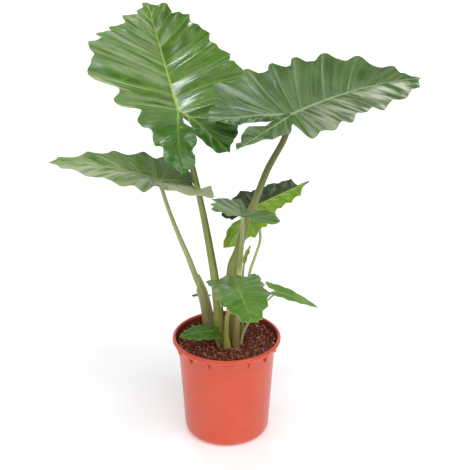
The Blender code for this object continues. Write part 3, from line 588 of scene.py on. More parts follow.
def stalkSkin(name, tone):
    # fleshy leaf stalk: smooth and satin, streaked lengthwise, browner and mottled at the foot
    material, tree, shader = newMaterial(name)
    around = addNode(tree, "Attribute", attribute_name="stalkRound").outputs["Vector"]
    share = addNode(tree, "Attribute", attribute_name="stalkShare").outputs["Fac"]
    flush = tone.get("flush")
    sideways = flush and addNode(tree, "SeparateXYZ", [around]).outputs[0]
    patch = flush and addNode(tree, "TexNoise", {"Vector": around, "Scale": 6.0, "Detail": 2.0})
    stretched = addNode(tree, "VectorMath", (around, (4.5, 4.5, 8.0)), operation="MULTIPLY")
    streak = addNode(tree, "TexNoise", {"Vector": stretched, "Scale": 1.0, "Detail": 3.0, "Roughness": 0.6})
    flecks = addNode(tree, "TexNoise", {"Vector": stretched, "Scale": 5.0, "Detail": 2.0})
    shifted = addNode(tree, "Math", (streak, 0.16, -0.08), operation="MULTIPLY_ADD")
    place = addNode(tree, "Math", (share, shifted), operation="ADD")
    paint, _ = layPaint(tree, addNode(tree, "ValToRGB", [place], stops=tone["stops"]), (
        ("streak", tone["streak"], (streak, 0.35, 0.65, 0, 0.7, even)),
        # painted shade: darker down one side, in patches
        ("flush", flush, (sideways, 0.25, 0.75, 0, 1, even), (patch, 0.36, 0.56, 0, 0.8, even)),
        # purple-brown flecks of the sheath
        ("fleck", tone["fleck"], (share, 0, tone.get("fleckTop", 0.45), tone["flecks"], 0, even),
         (flecks, 0.56, 0.66, 0, 1, even))))
    setInputs(tree, shader, {
        "Base Color": paint, "Roughness": addNode(tree, "MapRange", (streak, 0.3, 0.7, 0.34, 0.46)),
        "Normal": addNode(tree, "Bump", {"Strength": 0.3, "Distance": 0.0005, "Height": streak}),
        "IOR": 1.42, "Subsurface Weight": 0.08, "Subsurface Radius": (1, 1, 0.4), "Subsurface Scale": 0.002})
    return material


# The leaves

def addLeaf(name, leaf, tone, stalkTone):
    leaf = dict(plainShape, **leaf)
    skin = leafSkin("leaf_skin_" + name, tone)
    petiole = stalkSkin("stalk_skin_" + name, stalkTone)
    blade = makeBlade(name, leaf, skin, petiole)
    stalk = makeStalk(name, leaf, petiole)
    print("leaf", name, len(blade.data.polygons), len(stalk.data.polygons))


matureTone = dict(
    dark="#294806", mid="#3A600C", light="#527A1A", streak="#608A28", vein="#82A34A", rib="#94B046",
    edge="#7E9C4C", under="#A3AF8C", lobes="#245A00", turned="#A6AC80", turnedFrom=5.92, turnedTo=6.58,
    gloss=0.16, streaks=0.5, bloom="#889C70", bloomSide=-1, bloomMost=0.75, bloomLeast=0.12)
greyTone = dict(
    dark="#2A4816", mid="#38561E", light="#4A682B", streak="#58763E", vein="#76905C", rib="#869A68",
    edge="#7C9058", under="#95A880", streaks=0.5, bloom="#BEC0AE", bloomMost=1.12, bloomLeast=0.08,
    bloomFull=0.26, bloomFirst=0.12, lobeWax="#98AC98", halo=0.16, wax=0.34, gloss=0.17, coat=0.03)
leftTone = dict(
    dark="#3C6020", mid="#4C7328", light="#628A3C", streak="#7A9A54", vein="#90A66A", rib="#9CAA72",
    edge="#B8B498", under="#9AAA84", lobes="#1C4A04", otherLobe=0.0, paleLobe="#BFC498", streaks=0.45,
    bloom="#B4B89A", bloomSide=-1, bloomMost=0.8, bloomLeast=0.25, bloomFirst=0.7, crest=0.32)
youngTone = dict(
    dark="#5A8400", mid="#76A00A", light="#8EB418", streak="#90B428", vein="#A8C448", rib="#A8C054",
    edge="#D2DAA0", under="#98B84A", through=0.3)
backTone = dict(youngTone, farHalf="#202A12", tip="#3A3A1E", tipFrom=0.128)
budTone = dict(
    dark="#8EA424", mid="#A6BA36", light="#BCCC4E", streak="#B0C050", vein="#B8C864", rib="#B8C464",
    edge="#7E5A2C", under="#A4B44A", edgeIn=0.6, edgeOut=2.2)
middleTone = dict(
    dark="#42642A", mid="#517537", light="#638848", streak="#6E904E", vein="#8CA662", rib="#4C6C30",
    edge="#93AA70", under="#8FA070", wax=0.16, gloss=0.36, coat=0.0, bloom="#9CAA8C", bloomSide=-1)
frontTone = dict(
    dark="#40641C", mid="#507828", light="#628A38", streak="#6C9040", vein="#7C9C4C", rib="#74964A",
    edge="#A4BC70", under="#9DAE7C", wax=0.28, gloss=0.26, veins=0.45, coat=0.02)
plainTone = dict(
    dark="#567A34", mid="#68883E", light="#7C9A50", streak="#7A9E4C", vein="#7C9C4C", rib="#7E9E50",
    edge="#86A458", under="#93A674", wax=0.3, gloss=0.34, veins=0.3, halo=0.1)
deepTone = dict(
    dark="#2C4C10", mid="#3E641A", light="#4C7224", streak="#507C28", vein="#5A8234", rib="#64883A",
    edge="#6C8E40", under="#7F9460", wax=0.4, veins=0.6, halo=0.1)

paleStalk = dict(
    stops=[(0.0, "#8C8444"), (0.12, "#A29E50"), (0.35, "#A2AA5C"), (0.75, "#9AAB64"), (1.0, "#A6B674")],
    streak="#6E7434", fleck="#7E5B3C", flecks=0.5)
greenStalk = dict(
    paleStalk, flush="#4A5024", stops=[(0.0, "#948C4C"), (0.12, "#A8A456"), (0.35, "#A6AE5E"),
    (0.75, "#9EAF66"), (1.0, "#A8B876")])
shootStalk = dict(
    stops=[(0.0, "#A8A45C"), (0.15, "#B4B860"), (0.45, "#A8B25C"), (1.0, "#A6B674")], streak="#8E9244",
    fleck="#8A6A3C", flecks=0.4)
oliveStalk = dict(
    stops=[(0.0, "#8A8048"), (0.15, "#9E9A50"), (0.33, "#A2AA5C"), (0.55, "#9AA25C"), (0.78, "#7A7F48"),
    (1.0, "#5C6036")], streak="#686C36", fleck="#7A4A36", flecks=0.7, fleckTop=0.4, flush="#64602E")
strawStalk = dict(
    stops=[(0.0, "#968A58"), (0.18, "#B4AC76"), (0.40, "#B4B87C"), (0.58, "#BCC084"), (1.0, "#BDC48A")],
    streak="#7C7E46", fleck="#8A4E3C", flecks=0.8)
limeStalk = dict(
    stops=[(0.0, "#A09A54"), (0.20, "#B2B66C"), (0.60, "#BCC882"), (1.0, "#C4D290")], streak="#98A45C",
    fleck="#8A6A48", flecks=0.4)
flushedStalk = dict(
    stops=[(0.0, "#8E7448"), (0.14, "#A89A60"), (0.30, "#B0AE68"), (0.60, "#BCC882"), (1.0, "#C4D290")],
    streak="#7C6E3E", fleck="#7A4434", flecks=0.9)
sproutStalk = dict(
    stops=[(0.0, "#A89C6C"), (0.30, "#C0BA90"), (1.0, "#C4C498")], streak="#A09A68", fleck="#9A6A50",
    flecks=0.4)

# pairs are for the left and the right half; angles in degrees
# veins: start as a share of the midrib, or minus a share of the basal rib, reach in mm, and for some the
# share of that reach that the bay after it has
# stalk: x, y, z and radius from the soil up

upperLeft = dict(
    attach=(-0.100, 0.000, 0.780), heading=-9, rise=3, roll=-16, length=0.386, droop=-46, sweep=3, twist=9,
    fold=(25, -1), curl=(3, 11), lobe=(0.194, 0.157), spread=(170, 153), hang=(40, 73), inner=(0.22, 0.17),
    notch=(1.2, 1.5), veinAngle=(27, 76), seed=3, step=0.0030, wave=(0.7, 0.8), pleat=(0.6, 0.5),
    tooth=((0.50, 0.56, 1.9), plainTooth),
    veins=(((0.95, 24, 0.84), (0.86, 46, 0.80), (0.74, 97, 0.86), (0.59, 140, 0.90), (0.51, 177, 0.90),
            (0.43, 195, 0.95), (0.20, 198, 0.78), (0.02, 135, 0.75), (-0.21, 85), (-0.42, 68), (-0.60, 60)),
           ((0.97, 10), (0.90, 36, 1.12), (0.78, 78), (0.67, 124), (0.50, 153), (0.33, 174, 0.92), (0.18, 187),
            (0.02, 190), (-0.25, 125), (-0.46, 83, 1.02), (-0.71, 43))),
    stalk=((-0.014, -0.003, 0.229, 0.0125), (-0.020, -0.003, 0.310, 0.0115), (-0.026, -0.003, 0.386, 0.0097),
           (-0.037, -0.003, 0.465, 0.0086), (-0.054, -0.002, 0.565, 0.0072), (-0.076, -0.001, 0.672, 0.0063),
           (-0.091, 0.000, 0.740, 0.0058)),
    sheath=dict(side=20, top=0.345, drop=0.05, lip=0.012, core=0.0100, heights=(0.229, 0.29, 0.345),
        radii=(0.0122, 0.0118, 0.0112), seam=-70, step=0.10))
addLeaf("upper_left", upperLeft, matureTone, greenStalk)

upperRight = dict(
    attach=(0.136, -0.100, 0.806), heading=59, rise=14, roll=26, length=0.320, droop=11, sweep=13, twist=6,
    fold=(13, 8), curl=(4, 19), lobe=(0.157, 0.156), spread=(153, 171), hang=(16, -3), inner=(0.12, 0.20),
    notch=(1.0, 1.0), veinAngle=(47, 93), seed=7, step=0.0030, wave=(-0.2, 0.25), pleat=(0.35, 0.8),
    tooth=((0.34, 0.46, 2.4), (0.50, 0.60, 2.4)),
    feet=(((-0.5, -0.65), (-0.20, -0.28), (-0.07, -0.04), (0.025, 0.08), (0.07, 0.20), (0.25, 0.35),
           (0.42, 0.54), (0.64, 0.77), (0.78, 0.86)),
          ((-0.65, -0.65), (-0.26, -0.34), (-0.12, -0.17), (0.02, 0.0), (0.06, 0.14), (0.17, 0.28),
           (0.29, 0.40), (0.40, 0.51), (0.60, 0.72), (0.82, 0.90))),
    veins=(((0.86, 18), (0.77, 41, 0.80), (0.54, 80), (0.35, 107), (0.20, 118), (0.08, 126), (-0.04, 136),
            (-0.28, 134), (-0.65, 68)),
           ((0.90, 29), (0.72, 55), (0.51, 71), (0.40, 63), (0.28, 76), (0.14, 80), (0.00, 78, 0.40),
            (-0.17, 38, 1.00), (-0.34, 36), (-0.65, 21))),
    stalk=((0.015, 0.012, 0.229, 0.0140), (0.016, 0.010, 0.303, 0.0160), (0.015, 0.005, 0.369, 0.0178),
           (0.018, 0.000, 0.422, 0.0155), (0.028, -0.004, 0.466, 0.0105), (0.043, -0.012, 0.532, 0.0086),
           (0.060, -0.020, 0.577, 0.0078), (0.088, -0.045, 0.666, 0.0072), (0.119, -0.078, 0.742, 0.0066)),
    sheath=dict(side=160, top=0.470, drop=0.03, lip=0.05, core=0.0105,
        heights=(0.229, 0.303, 0.369, 0.422, 0.470), radii=(0.0136, 0.0156, 0.0172, 0.0148, 0.0100), flat=0.62,
        seam=-62, step=0.12))
addLeaf("upper_right", upperRight, greyTone, oliveStalk)

leftLeaf = dict(
    attach=(-0.144, -0.020, 0.632), heading=-95, rise=22, roll=-2, length=0.245, droop=13, sweep=-19, twist=-14,
    fold=(10, 20), curl=(12, 8), lobe=(0.131, 0.087), spread=(156, 152), hang=(-22, 4), inner=(0.33, 0.30),
    notch=(0.8, 0.8), cup=(0.16, 0), veinAngle=(40, 84), seed=11, wave=(0.3, 0.1), pleat=(0.8, 0.4),
    tooth=((0.50, 0.55, 2.3), (0.35, 0.50, 1.5)),
    feet=(((-0.25, -0.38), (-0.03, -0.06), (0.04, 0.10), (0.12, 0.28), (0.36, 0.58), (0.72, 0.84)),
          ((-0.28, -0.42), (-0.06, -0.10), (0.04, 0.10), (0.16, 0.34), (0.34, 0.56), (0.72, 0.85))),
    veins=(((0.84, 24), (0.58, 58), (0.28, 87), (0.10, 98, 0.74), (-0.06, 52), (-0.38, 40), (-0.74, 30)),
           ((0.85, 19, 0.72), (0.56, 41, 0.84), (0.34, 56, 0.82), (0.10, 81, 0.78), (-0.10, 104), (-0.42, 62))),
    stalk=((-0.041, 0.045, 0.229, 0.0135), (-0.047, 0.043, 0.286, 0.0134), (-0.056, 0.038, 0.333, 0.0122),
           (-0.072, 0.031, 0.382, 0.0076), (-0.085, 0.026, 0.425, 0.0063), (-0.104, 0.016, 0.481, 0.0054),
           (-0.126, 0.000, 0.555, 0.0047)),
    sheath=dict(side=0, top=0.384, drop=0.035, lip=0.006, core=0.0085, heights=(0.229, 0.286, 0.333, 0.384),
        radii=(0.0128, 0.0126, 0.0116, 0.0092), seam=-50, step=0.12))
addLeaf("left", leftLeaf, leftTone, strawStalk)

backLeaf = dict(
    attach=(0.068, 0.130, 0.512), heading=57, rise=11, roll=26, length=0.150, droop=-9, sweep=6, twist=7,
    fold=(12, -8), curl=(2, 13), lobe=(0.080, 0.132), spread=(160, 159), hang=(42, 17), inner=(0.25, 0.13),
    veinAngle=(50, 75), seed=13, step=0.0026,
    veins=(((0.85, 4, 0.35), (0.66, 31), (0.50, 33), (0.28, 42), (0.04, 42), (-0.12, 50), (-0.50, 34)),
           ((0.84, 7), (0.67, 26), (0.46, 32), (0.27, 33), (0.12, 40), (-0.08, 54), (-0.26, 57), (-0.50, 50))),
    stalk=((0.036, 0.040, 0.229, 0.0040), (0.040, 0.045, 0.285, 0.0040), (0.046, 0.052, 0.333, 0.0038),
           (0.055, 0.064, 0.379, 0.0036), (0.067, 0.078, 0.411, 0.0034), (0.078, 0.100, 0.446, 0.0032)))
addLeaf("back", backLeaf, backTone, limeStalk)

middleLeaf = dict(
    attach=(0.035, -0.120, 0.591), heading=-6, rise=-8, roll=6, length=0.110, droop=-11, sweep=5, twist=0,
    fold=(18, 18), curl=(-9, -4), lobe=(0.119, 0.113), spread=(136, 144), hang=(3, 10), inner=(0.07, 0.18),
    veinAngle=(30, 80), seed=17, step=0.0026,
    veins=(((0.84, 11), (0.66, 29), (0.40, 55), (0.09, 74), (-0.30, 57), (-0.62, 32)),
           ((0.84, 7), (0.62, 12), (0.36, 14, 0.35), (0.08, 49), (-0.30, 50), (-0.62, 34))),
    stalk=((0.0205, -0.020, 0.229, 0.0090), (0.022, -0.024, 0.295, 0.0080), (0.024, -0.029, 0.349, 0.0072),
           (0.027, -0.034, 0.401, 0.0062), (0.031, -0.045, 0.450, 0.0052), (0.034, -0.062, 0.496, 0.0046),
           (0.035, -0.088, 0.545, 0.0042)),
    sheath=dict(side=0, top=0.33, drop=0.04, lip=0.01, core=0.0070, heights=(0.229, 0.33),
        radii=(0.0088, 0.0074), seam=-120, step=0.10))
addLeaf("middle", middleLeaf, middleTone, flushedStalk)

frontLeaf = dict(
    attach=(0.025, -0.150, 0.437), heading=171, rise=10, roll=4, length=0.137, droop=29, sweep=-5, twist=-8,
    fold=(1, -1), curl=(6, 16), lobe=(0.103, 0.114), spread=(148, 151), hang=(0, 0), inner=(0.50, 0.50),
    notch=(0.62, 0.62), wave=(0.5, 0.5), veinAngle=(29, 82), seed=19, step=0.0026,
    tooth=((0.5, 0.6, 2.0), (0.5, 0.6, 2.0)),
    veins=(((0.93, 16, 0.92), (0.76, 35), (0.47, 53, 0.93), (0.16, 67), (-0.10, 56), (-0.45, 43)),
           ((0.93, 17, 0.92), (0.78, 31), (0.55, 43, 0.93), (0.33, 53, 0.93), (0.10, 54), (-0.28, 38),
            (-0.60, 26))),
    stalk=((0.001, -0.030, 0.229, 0.0084), (0.0002, -0.043, 0.279, 0.0062), (0.002, -0.068, 0.326, 0.0048),
           (0.010, -0.103, 0.373, 0.0046)),
    sheath=dict(side=180, top=0.292, drop=0.03, lip=0.03, core=0.0064, heights=(0.229, 0.292),
        radii=(0.0083, 0.0056), seam=-60, step=0.16))
addLeaf("front", frontLeaf, frontTone, shootStalk)

rightLeaf = dict(
    attach=(0.114, -0.020, 0.364), heading=96, rise=-16, roll=15, length=0.102, droop=11, sweep=0, twist=0,
    fold=(12, 1), curl=(9, 13), lobe=(0.035, 0.024), spread=(151, 154), hang=(-10, 25), inner=(0.22, 0.20),
    veinAngle=(33, 90), seed=23, step=0.0022, wave=(0.3, 0.3), tooth=((0.5, 0.6, 2.4), (0.5, 0.6, 2.4)),
    veins=(((0.80, 8), (0.55, 14), (0.24, 21), (0.00, 22), (-0.47, 14)),
           ((0.78, 7), (0.52, 12), (0.26, 15), (0.00, 14), (-0.42, 9))),
    stalk=((0.033, -0.012, 0.229, 0.0038), (0.038, -0.012, 0.255, 0.0035), (0.056, -0.013, 0.292, 0.0029),
           (0.080, -0.016, 0.327, 0.0025), (0.100, -0.019, 0.350, 0.0023)))
addLeaf("right", rightLeaf, plainTone, sproutStalk)

lowLeaf = dict(
    attach=(-0.037, -0.040, 0.275), heading=-100, rise=4, roll=-9, length=0.072, droop=13, sweep=-12, twist=-8,
    fold=(-2, 6), curl=(19, 10), lobe=(0.026, 0.024), spread=(152, 152), hang=(40, 15), inner=(0.40, 0.40),
    veinAngle=(38, 86), seed=29, step=0.0020, wave=(0.35, 0.35), tooth=((0.5, 0.6, 2.4), (0.5, 0.6, 2.4)),
    veins=(((0.84, 9), (0.60, 19), (0.32, 26), (0.04, 27), (-0.45, 18)),
           ((0.84, 8), (0.62, 15), (0.38, 23), (0.08, 25), (-0.36, 16))),
    stalk=((-0.018, -0.030, 0.229, 0.0030), (-0.021, -0.032, 0.240, 0.0028), (-0.028, -0.036, 0.257, 0.0025)))
addLeaf("low", lowLeaf, deepTone, paleStalk)

youngLeaf = dict(
    attach=(0.040, 0.032, 0.412), heading=40, rise=62, roll=0, length=0.044, droop=10, sweep=0, twist=6,
    fold=(24, 28), curl=(-6, -6), lobe=(0.006, 0.006), spread=(118, 118), hang=(0, 0), inner=(0.15, 0.15),
    veinAngle=(20, 60), seed=31, step=0.0016,
    veins=(((0.78, 5), (0.45, 9), (0.12, 8)),
           ((0.78, 5), (0.45, 10), (0.12, 8))),
    stalk=((0.034, 0.018, 0.229, 0.0035), (0.034, 0.022, 0.297, 0.0035), (0.035, 0.026, 0.346, 0.0030),
           (0.038, 0.030, 0.390, 0.0024)))
addLeaf("young", youngLeaf, budTone, paleStalk)

littleLeaf = dict(
    attach=(-0.050, 0.090, 0.301), heading=-90, rise=2, roll=18, length=0.034, droop=10, sweep=0, twist=-30,
    fold=(6, 6), curl=(10, 10), lobe=(0.016, 0.016), spread=(150, 150), hang=(5, 5), inner=(0.22, 0.22),
    veinAngle=(35, 82), seed=37, step=0.0016,
    veins=(((0.70, 7), (0.35, 11), (0.00, 11), (-0.50, 7)),
           ((0.70, 7), (0.35, 11), (0.00, 11), (-0.50, 7))),
    stalk=((-0.026, 0.068, 0.229, 0.0030), (-0.036, 0.077, 0.265, 0.0025), (-0.044, 0.085, 0.288, 0.0022)))
addLeaf("small", littleLeaf, deepTone, paleStalk)


# Pot

def potSkin():
    # injection-moulded terracotta polypropylene: even colour, satin, scuffed and slightly chalky at the edges
    material, tree, shader = newMaterial("terracotta_polypropylene")
    place = addNode(tree, "TexCoord").outputs["Object"]
    height = addNode(tree, "SeparateXYZ", [place]).outputs[2]
    level = addNode(tree, "VectorMath", (place, (1.0, 1.0, 0.0)), operation="MULTIPLY")
    radius = addNode(tree, "VectorMath", [level], operation="LENGTH")
    cloud = addNode(tree, "TexNoise", {"Vector": place, "Scale": 14.0, "Detail": 4.0, "Roughness": 0.6})
    marks = addNode(tree, "TexNoise", {
        "Vector": place, "Scale": 60.0, "Detail": 5.0, "Roughness": 0.7, "Distortion": 0.6})
    # grain of the mould, about 1 mm
    grain = addNode(tree, "TexNoise", {"Vector": place, "Scale": 900.0, "Detail": 2.0})
    paint = addNode(tree, "ValToRGB", [cloud], stops=[(0.25, "#D44826"), (0.5, "#D84B29"), (0.75, "#DD502E")])
    paint, _ = layPaint(tree, paint, (
        # dust and water marks
        ("dust", "#D98A74", (marks, 0.58, 0.75, 0, 0.22, even)),
        # inside wall above the soil, painted dark: painted shade of the pot's hollow
        ("stain", "#6C1E0E", (radius, 0.1165, 0.1185, 1, 0, even), (height, 0.2282, 0.2290, 0, 1, even),
         (height, 0.2405, 0.2430, 1, 0, even))))
    setInputs(tree, shader, {
        "Base Color": paint, "Roughness": addNode(tree, "MapRange", (marks, 0.3, 0.7, 0.30, 0.42)),
        "Normal": addNode(tree, "Bump", {"Strength": 0.12, "Distance": 0.0003, "Height": grain}),
        "IOR": 1.49, "Coat Weight": 0.3, "Coat Roughness": 0.25, "Subsurface Weight": 0.05,
        "Subsurface Radius": (1.0, 0.3, 0.2), "Subsurface Scale": 0.002})
    return material


pot = dict(
    bodyTop=0.1115, bodyTopZ=0.222, foot=0.0985, corner=0.017, wall=0.0025, rimRound=0.0014, segments=180,
    rim=[(0.1108, 0.2150), (0.1112, 0.2195), (0.1126, 0.2240), (0.1156, 0.2275), (0.1200, 0.2308),
         (0.1238, 0.2340), (0.1250, 0.2375), (0.1244, 0.2418), (0.1210, 0.2440), (0.1187, 0.2436),
         (0.1175, 0.2415), (0.1145, 0.2310), (0.1107, 0.2240), (0.1090, 0.2200)],
    gussets=15, gussetPhase=-87, gussetWidth=0.004, gussetLow=0.2145, gussetReach=0.0042,
    notches=4, notchPhase=-53, notchWidth=0.034, notchStart=0.058, notchHeight=0.003,
    drain=0.006, drainCircle=0.068)


def roundedPath(points, radius, steps):
    # the corner points of a profile, each rounded by about the radius
    points = [np.array(p, float) for p in points]
    out = [points[0]]
    for before, corner, after in zip(points[:-2], points[1:-1], points[2:]):
        a, b = before - corner, after - corner
        reach = min(radius, 0.45 * np.linalg.norm(a), 0.45 * np.linalg.norm(b))
        a, b = corner + a / np.linalg.norm(a) * reach, corner + b / np.linalg.norm(b) * reach
        out += [(1 - t) ** 2 * a + 2 * t * (1 - t) * corner + t * t * b for t in np.linspace(0, 1, steps + 1)]
    return [tuple(p) for p in out + [points[-1]]]


def turned(profile, segments):
    # a closed body turned round the Z axis; the profile starts and ends on the axis
    turns = np.linspace(0, math.tau, segments, endpoint=False)
    radii, heights = np.array(profile)[1:-1].T
    points = np.stack([np.outer(radii, np.cos(turns)), np.outer(radii, np.sin(turns)),
                       np.outer(heights, np.ones(segments))], -1).reshape(-1, 3)
    faces = [tuple(q) for q in gridQuads(len(radii), segments, closed=True).tolist()]
    low, high, top = len(points), len(points) + 1, (len(radii) - 1) * segments
    points = np.vstack([points, [0, 0, profile[0][1]], [0, 0, profile[-1][1]]])
    faces += [(low, (k + 1) % segments, k) for k in range(segments)]
    faces += [(top + k, top + (k + 1) % segments, high) for k in range(segments)]
    return points, faces


def spokes(count, phase):
    # outward and sideways directions, evenly spaced round the pot
    for k in range(count):
        a = math.radians(phase) + math.tau * k / count
        yield np.array([math.cos(a), math.sin(a), 0]), np.array([-math.sin(a), math.cos(a), 0])


def floorCutters():
    # the notches under the floor, which let water out, and a drain hole above each
    up = np.array([0, 0, 1.0])
    low, high = 0.004 * up, pot["notchHeight"] * up
    boxFaces = [(3, 2, 1, 0), (4, 5, 6, 7), (0, 1, 5, 4), (1, 2, 6, 5), (2, 3, 7, 6), (3, 0, 4, 7)]
    cutters = []
    for outward, sideways in spokes(pot["notches"], pot["notchPhase"]):
        across = sideways * 0.5 * pot["notchWidth"]
        near, far = outward * pot["notchStart"], outward * (pot["foot"] + 0.01)
        corners = [near - across - low, near + across - low, far + across - low, far - across - low]
        across = across * 0.9   # narrower at the top
        corners += [near - across, near + across, far + across + high, far - across + high]
        cutters.append(meshObject("notch", corners, boxFaces, []))
        hole = outward * pot["drainCircle"]
        ring, ringFaces, _ = tubeGrid([hole - 0.01 * up, hole + 0.012 * up], [up, up], pot["drain"], 24)
        cutters.append(meshObject("drain", ring, ringFaces, []))
    return cutters


def cutAway(shell, cutters):
    group = bpy.data.collections.new("cutters")
    for cutter in cutters:
        bpy.context.scene.collection.objects.unlink(cutter)
        group.objects.link(cutter)
    bpy.context.scene.collection.children.link(group)
    cut = shell.modifiers.new("cut", "BOOLEAN")
    cut.operation, cut.operand_type, cut.collection, cut.solver = "DIFFERENCE", "COLLECTION", group, "EXACT"
    bpy.context.view_layer.update()
    result = bpy.data.meshes.new_from_object(shell.evaluated_get(bpy.context.evaluated_depsgraph_get()))
    shell.modifiers.remove(cut)
    shell.data = result
    for cutter in cutters:
        bpy.data.objects.remove(cutter, do_unlink=True)
    bpy.data.collections.remove(group)


def makeWebs(skin):
    # thin stiffening webs between body and rim
    body, low = pot["bodyTop"], pot["gussetLow"]
    section = [(body - 0.0014, low), (body + pot["gussetReach"], low + 0.001), (0.1205, 0.2300),
               (0.1190, 0.2320), (body - 0.0005, 0.2235)]
    layers = ((-0.5, 0), (-0.38, 0.0006), (0.38, 0.0006), (0.5, 0))   # share of the width, growth of the edge
    points, faces, n = [], [], len(section)
    for outward, across in spokes(pot["gussets"], pot["gussetPhase"]):
        start = len(points)
        for side, grow in layers:
            aside = across * side * pot["gussetWidth"]
            points += [outward * (r + grow * (i in (1, 2))) + aside + np.array([0, 0, h])
                       for i, (r, h) in enumerate(section)]
        for a in range(start, len(points) - n, n):
            faces += [(a + (i + 1) % n, a + i, a + n + i, a + n + (i + 1) % n) for i in range(n)]
        faces += [tuple(range(start, start + n)), tuple(range(len(points) - 1, len(points) - n - 1, -1))]
    webs = meshObject("pot_webs", points, faces, [skin])
    webs.data.set_sharp_from_angle(angle=math.radians(35))
    return webs


def makePot():
    skin = potSkin()
    foot, corner, wall = pot["foot"], pot["corner"], pot["wall"]
    arc = [(foot - corner + corner * math.sin(a), corner - corner * math.cos(a))
           for a in np.linspace(0, math.pi / 2, 9)]
    body = [(foot + (pot["bodyTop"] - foot) * (z - corner) / (pot["bodyTopZ"] - corner), z)
            for z in np.linspace(0.04, 0.20, 7)]
    inside = [(foot - wall, corner + 0.01), (foot - corner, wall)]
    profile = [(0.0, 0.0)] + arc + body + roundedPath(pot["rim"], pot["rimRound"], 3) + inside + [(0.0, wall)]
    shell = meshObject("nursery_pot", *turned(profile, pot["segments"]), [skin])
    cutAway(shell, floorCutters())
    shell.data.shade_smooth()
    shell.data.set_sharp_from_angle(angle=math.radians(50))
    webs = makeWebs(skin)
    webs.parent = shell
    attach(shell, "root")
    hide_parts("pot")
    print("pot", len(shell.data.polygons))


makePot()


# Soil

def soilSkin():
    # moist milled peat: dark matt crumbs with a few paler fibres and bits of bark
    material, tree, shader = newMaterial("moist_peat")
    place = addNode(tree, "TexCoord").outputs["Object"]
    tone = addNode(tree, "Attribute", attribute_name="crumbTone").outputs["Fac"]
    grit = addNode(tree, "TexNoise", {"Vector": place, "Scale": 420.0, "Detail": 4.0, "Roughness": 0.7})
    mixed = addNode(tree, "Math", (grit, 0.45, -0.22), operation="MULTIPLY_ADD")
    value = addNode(tree, "Math", (tone, mixed), operation="ADD")
    setInputs(tree, shader, {
        "Base Color": addNode(tree, "ValToRGB", [value], stops=soil["stops"]),
        "Roughness": addNode(tree, "MapRange", (grit, 0.3, 0.7, 0.95, 0.75)), "Specular IOR Level": 0.2,
        "Normal": addNode(tree, "Bump", {"Strength": 0.8, "Distance": 0.0012, "Height": grit})})
    return material


soil = dict(
    edge=0.1141, top=0.231, dish=0.004, relief=0.0013, segments=160, rings=48,
    crumbs=2900, slivers=170, crumbSize=(0.0008, 0.0018), smallShare=0.84, bigger=1.8, sunk=0.25,
    wall=[(0.0, 0.0029), (0.0800, 0.0029), (0.0930, 0.0150), (0.0950, 0.0300), (0.1080, 0.2195),
          (0.1103, 0.2238)],
    # pinkish root ends at the foot of the stalks: x, y, length, direction, tone
    rootBits=[(0.0206, -0.040, 0.0050, 1.9, 0.84), (0.0235, -0.044, 0.0042, 0.9, 0.80),
              (0.0262, -0.041, 0.0045, 2.6, 0.82)],
    stops=[(0.0, "#1C0906"), (0.35, "#481C10"), (0.55, "#743626"), (0.75, "#A06450"), (1.0, "#C89480")])

crumbPoints = [
    (0, -0.526, 0.851), (0, 0.526, 0.851), (0.851, 0, 0.526), (0.851, 0, -0.526), (-0.851, 0, 0.526),
    (-0.851, 0, -0.526), (0.526, 0.851, 0), (-0.526, 0.851, 0), (-0.526, -0.851, 0), (0.526, -0.851, 0),
    (0, 0.526, -0.851), (0, -0.526, -0.851)]
crumbFaces = [
    (0, 2, 1), (0, 1, 4), (0, 4, 8), (0, 8, 9), (0, 9, 2), (1, 2, 6), (1, 6, 7), (1, 7, 4), (2, 3, 6), (2, 9, 3),
    (3, 10, 6), (3, 11, 10), (3, 9, 11), (4, 7, 5), (4, 5, 8), (5, 7, 10), (5, 10, 11), (5, 11, 8), (6, 10, 7),
    (8, 11, 9)]


def soilHeight(x, y):
    r = math.hypot(x, y)
    h = soil["top"] - soil["dish"] * (1 - min(1.0, r / soil["edge"]) ** 2)
    swell = noise.noise(Vector((x * 45, y * 45, 3.0))) + 0.5 * noise.noise(Vector((x * 120, y * 120, 7.0)))
    return h - 0.0006 + soil["relief"] * swell * (1 - (r / soil["edge"]) ** 8)


def laidDown(corners, x, y, lift, yaw):
    # turns a crumb and lays it on the soil
    c, s, h = math.cos(yaw), math.sin(yaw), soilHeight(x, y) + lift
    return [(x + u * c - v * s, y + u * s + v * c, h + w) for u, v, w in corners]


def crumb(rng, x, y, isSliver):
    # one crumb or sliver of peat, partly sunk into the surface
    size = rng.uniform(*soil["crumbSize"]) * (1.0 if rng.random() < soil["smallShare"] else soil["bigger"])
    if isSliver:
        scale = (size * rng.uniform(2.2, 4.5), size * 0.5, size * 0.4)
    else:
        scale = [size * rng.uniform(*span) for span in ((0.7, 1.4), (0.7, 1.4), (0.6, 1.1))]
    yaw, tilt = rng.uniform(0, math.tau), rng.uniform(-0.3, 0.3)
    corners = []
    for p in crumbPoints:
        jitter = rng.uniform(0.75, 1.25)
        u, v, w = (a * b * jitter for a, b in zip(p, scale))
        corners.append((u, v, w + u * tilt))
    shade = rng.uniform(0.6, 0.95) if isSliver else rng.gauss(0.54, 0.18) + (0.3 if rng.random() < 0.10 else 0)
    return laidDown(corners, x, y, soil["sunk"] * size, yaw), min(1.0, max(0.1, shade))


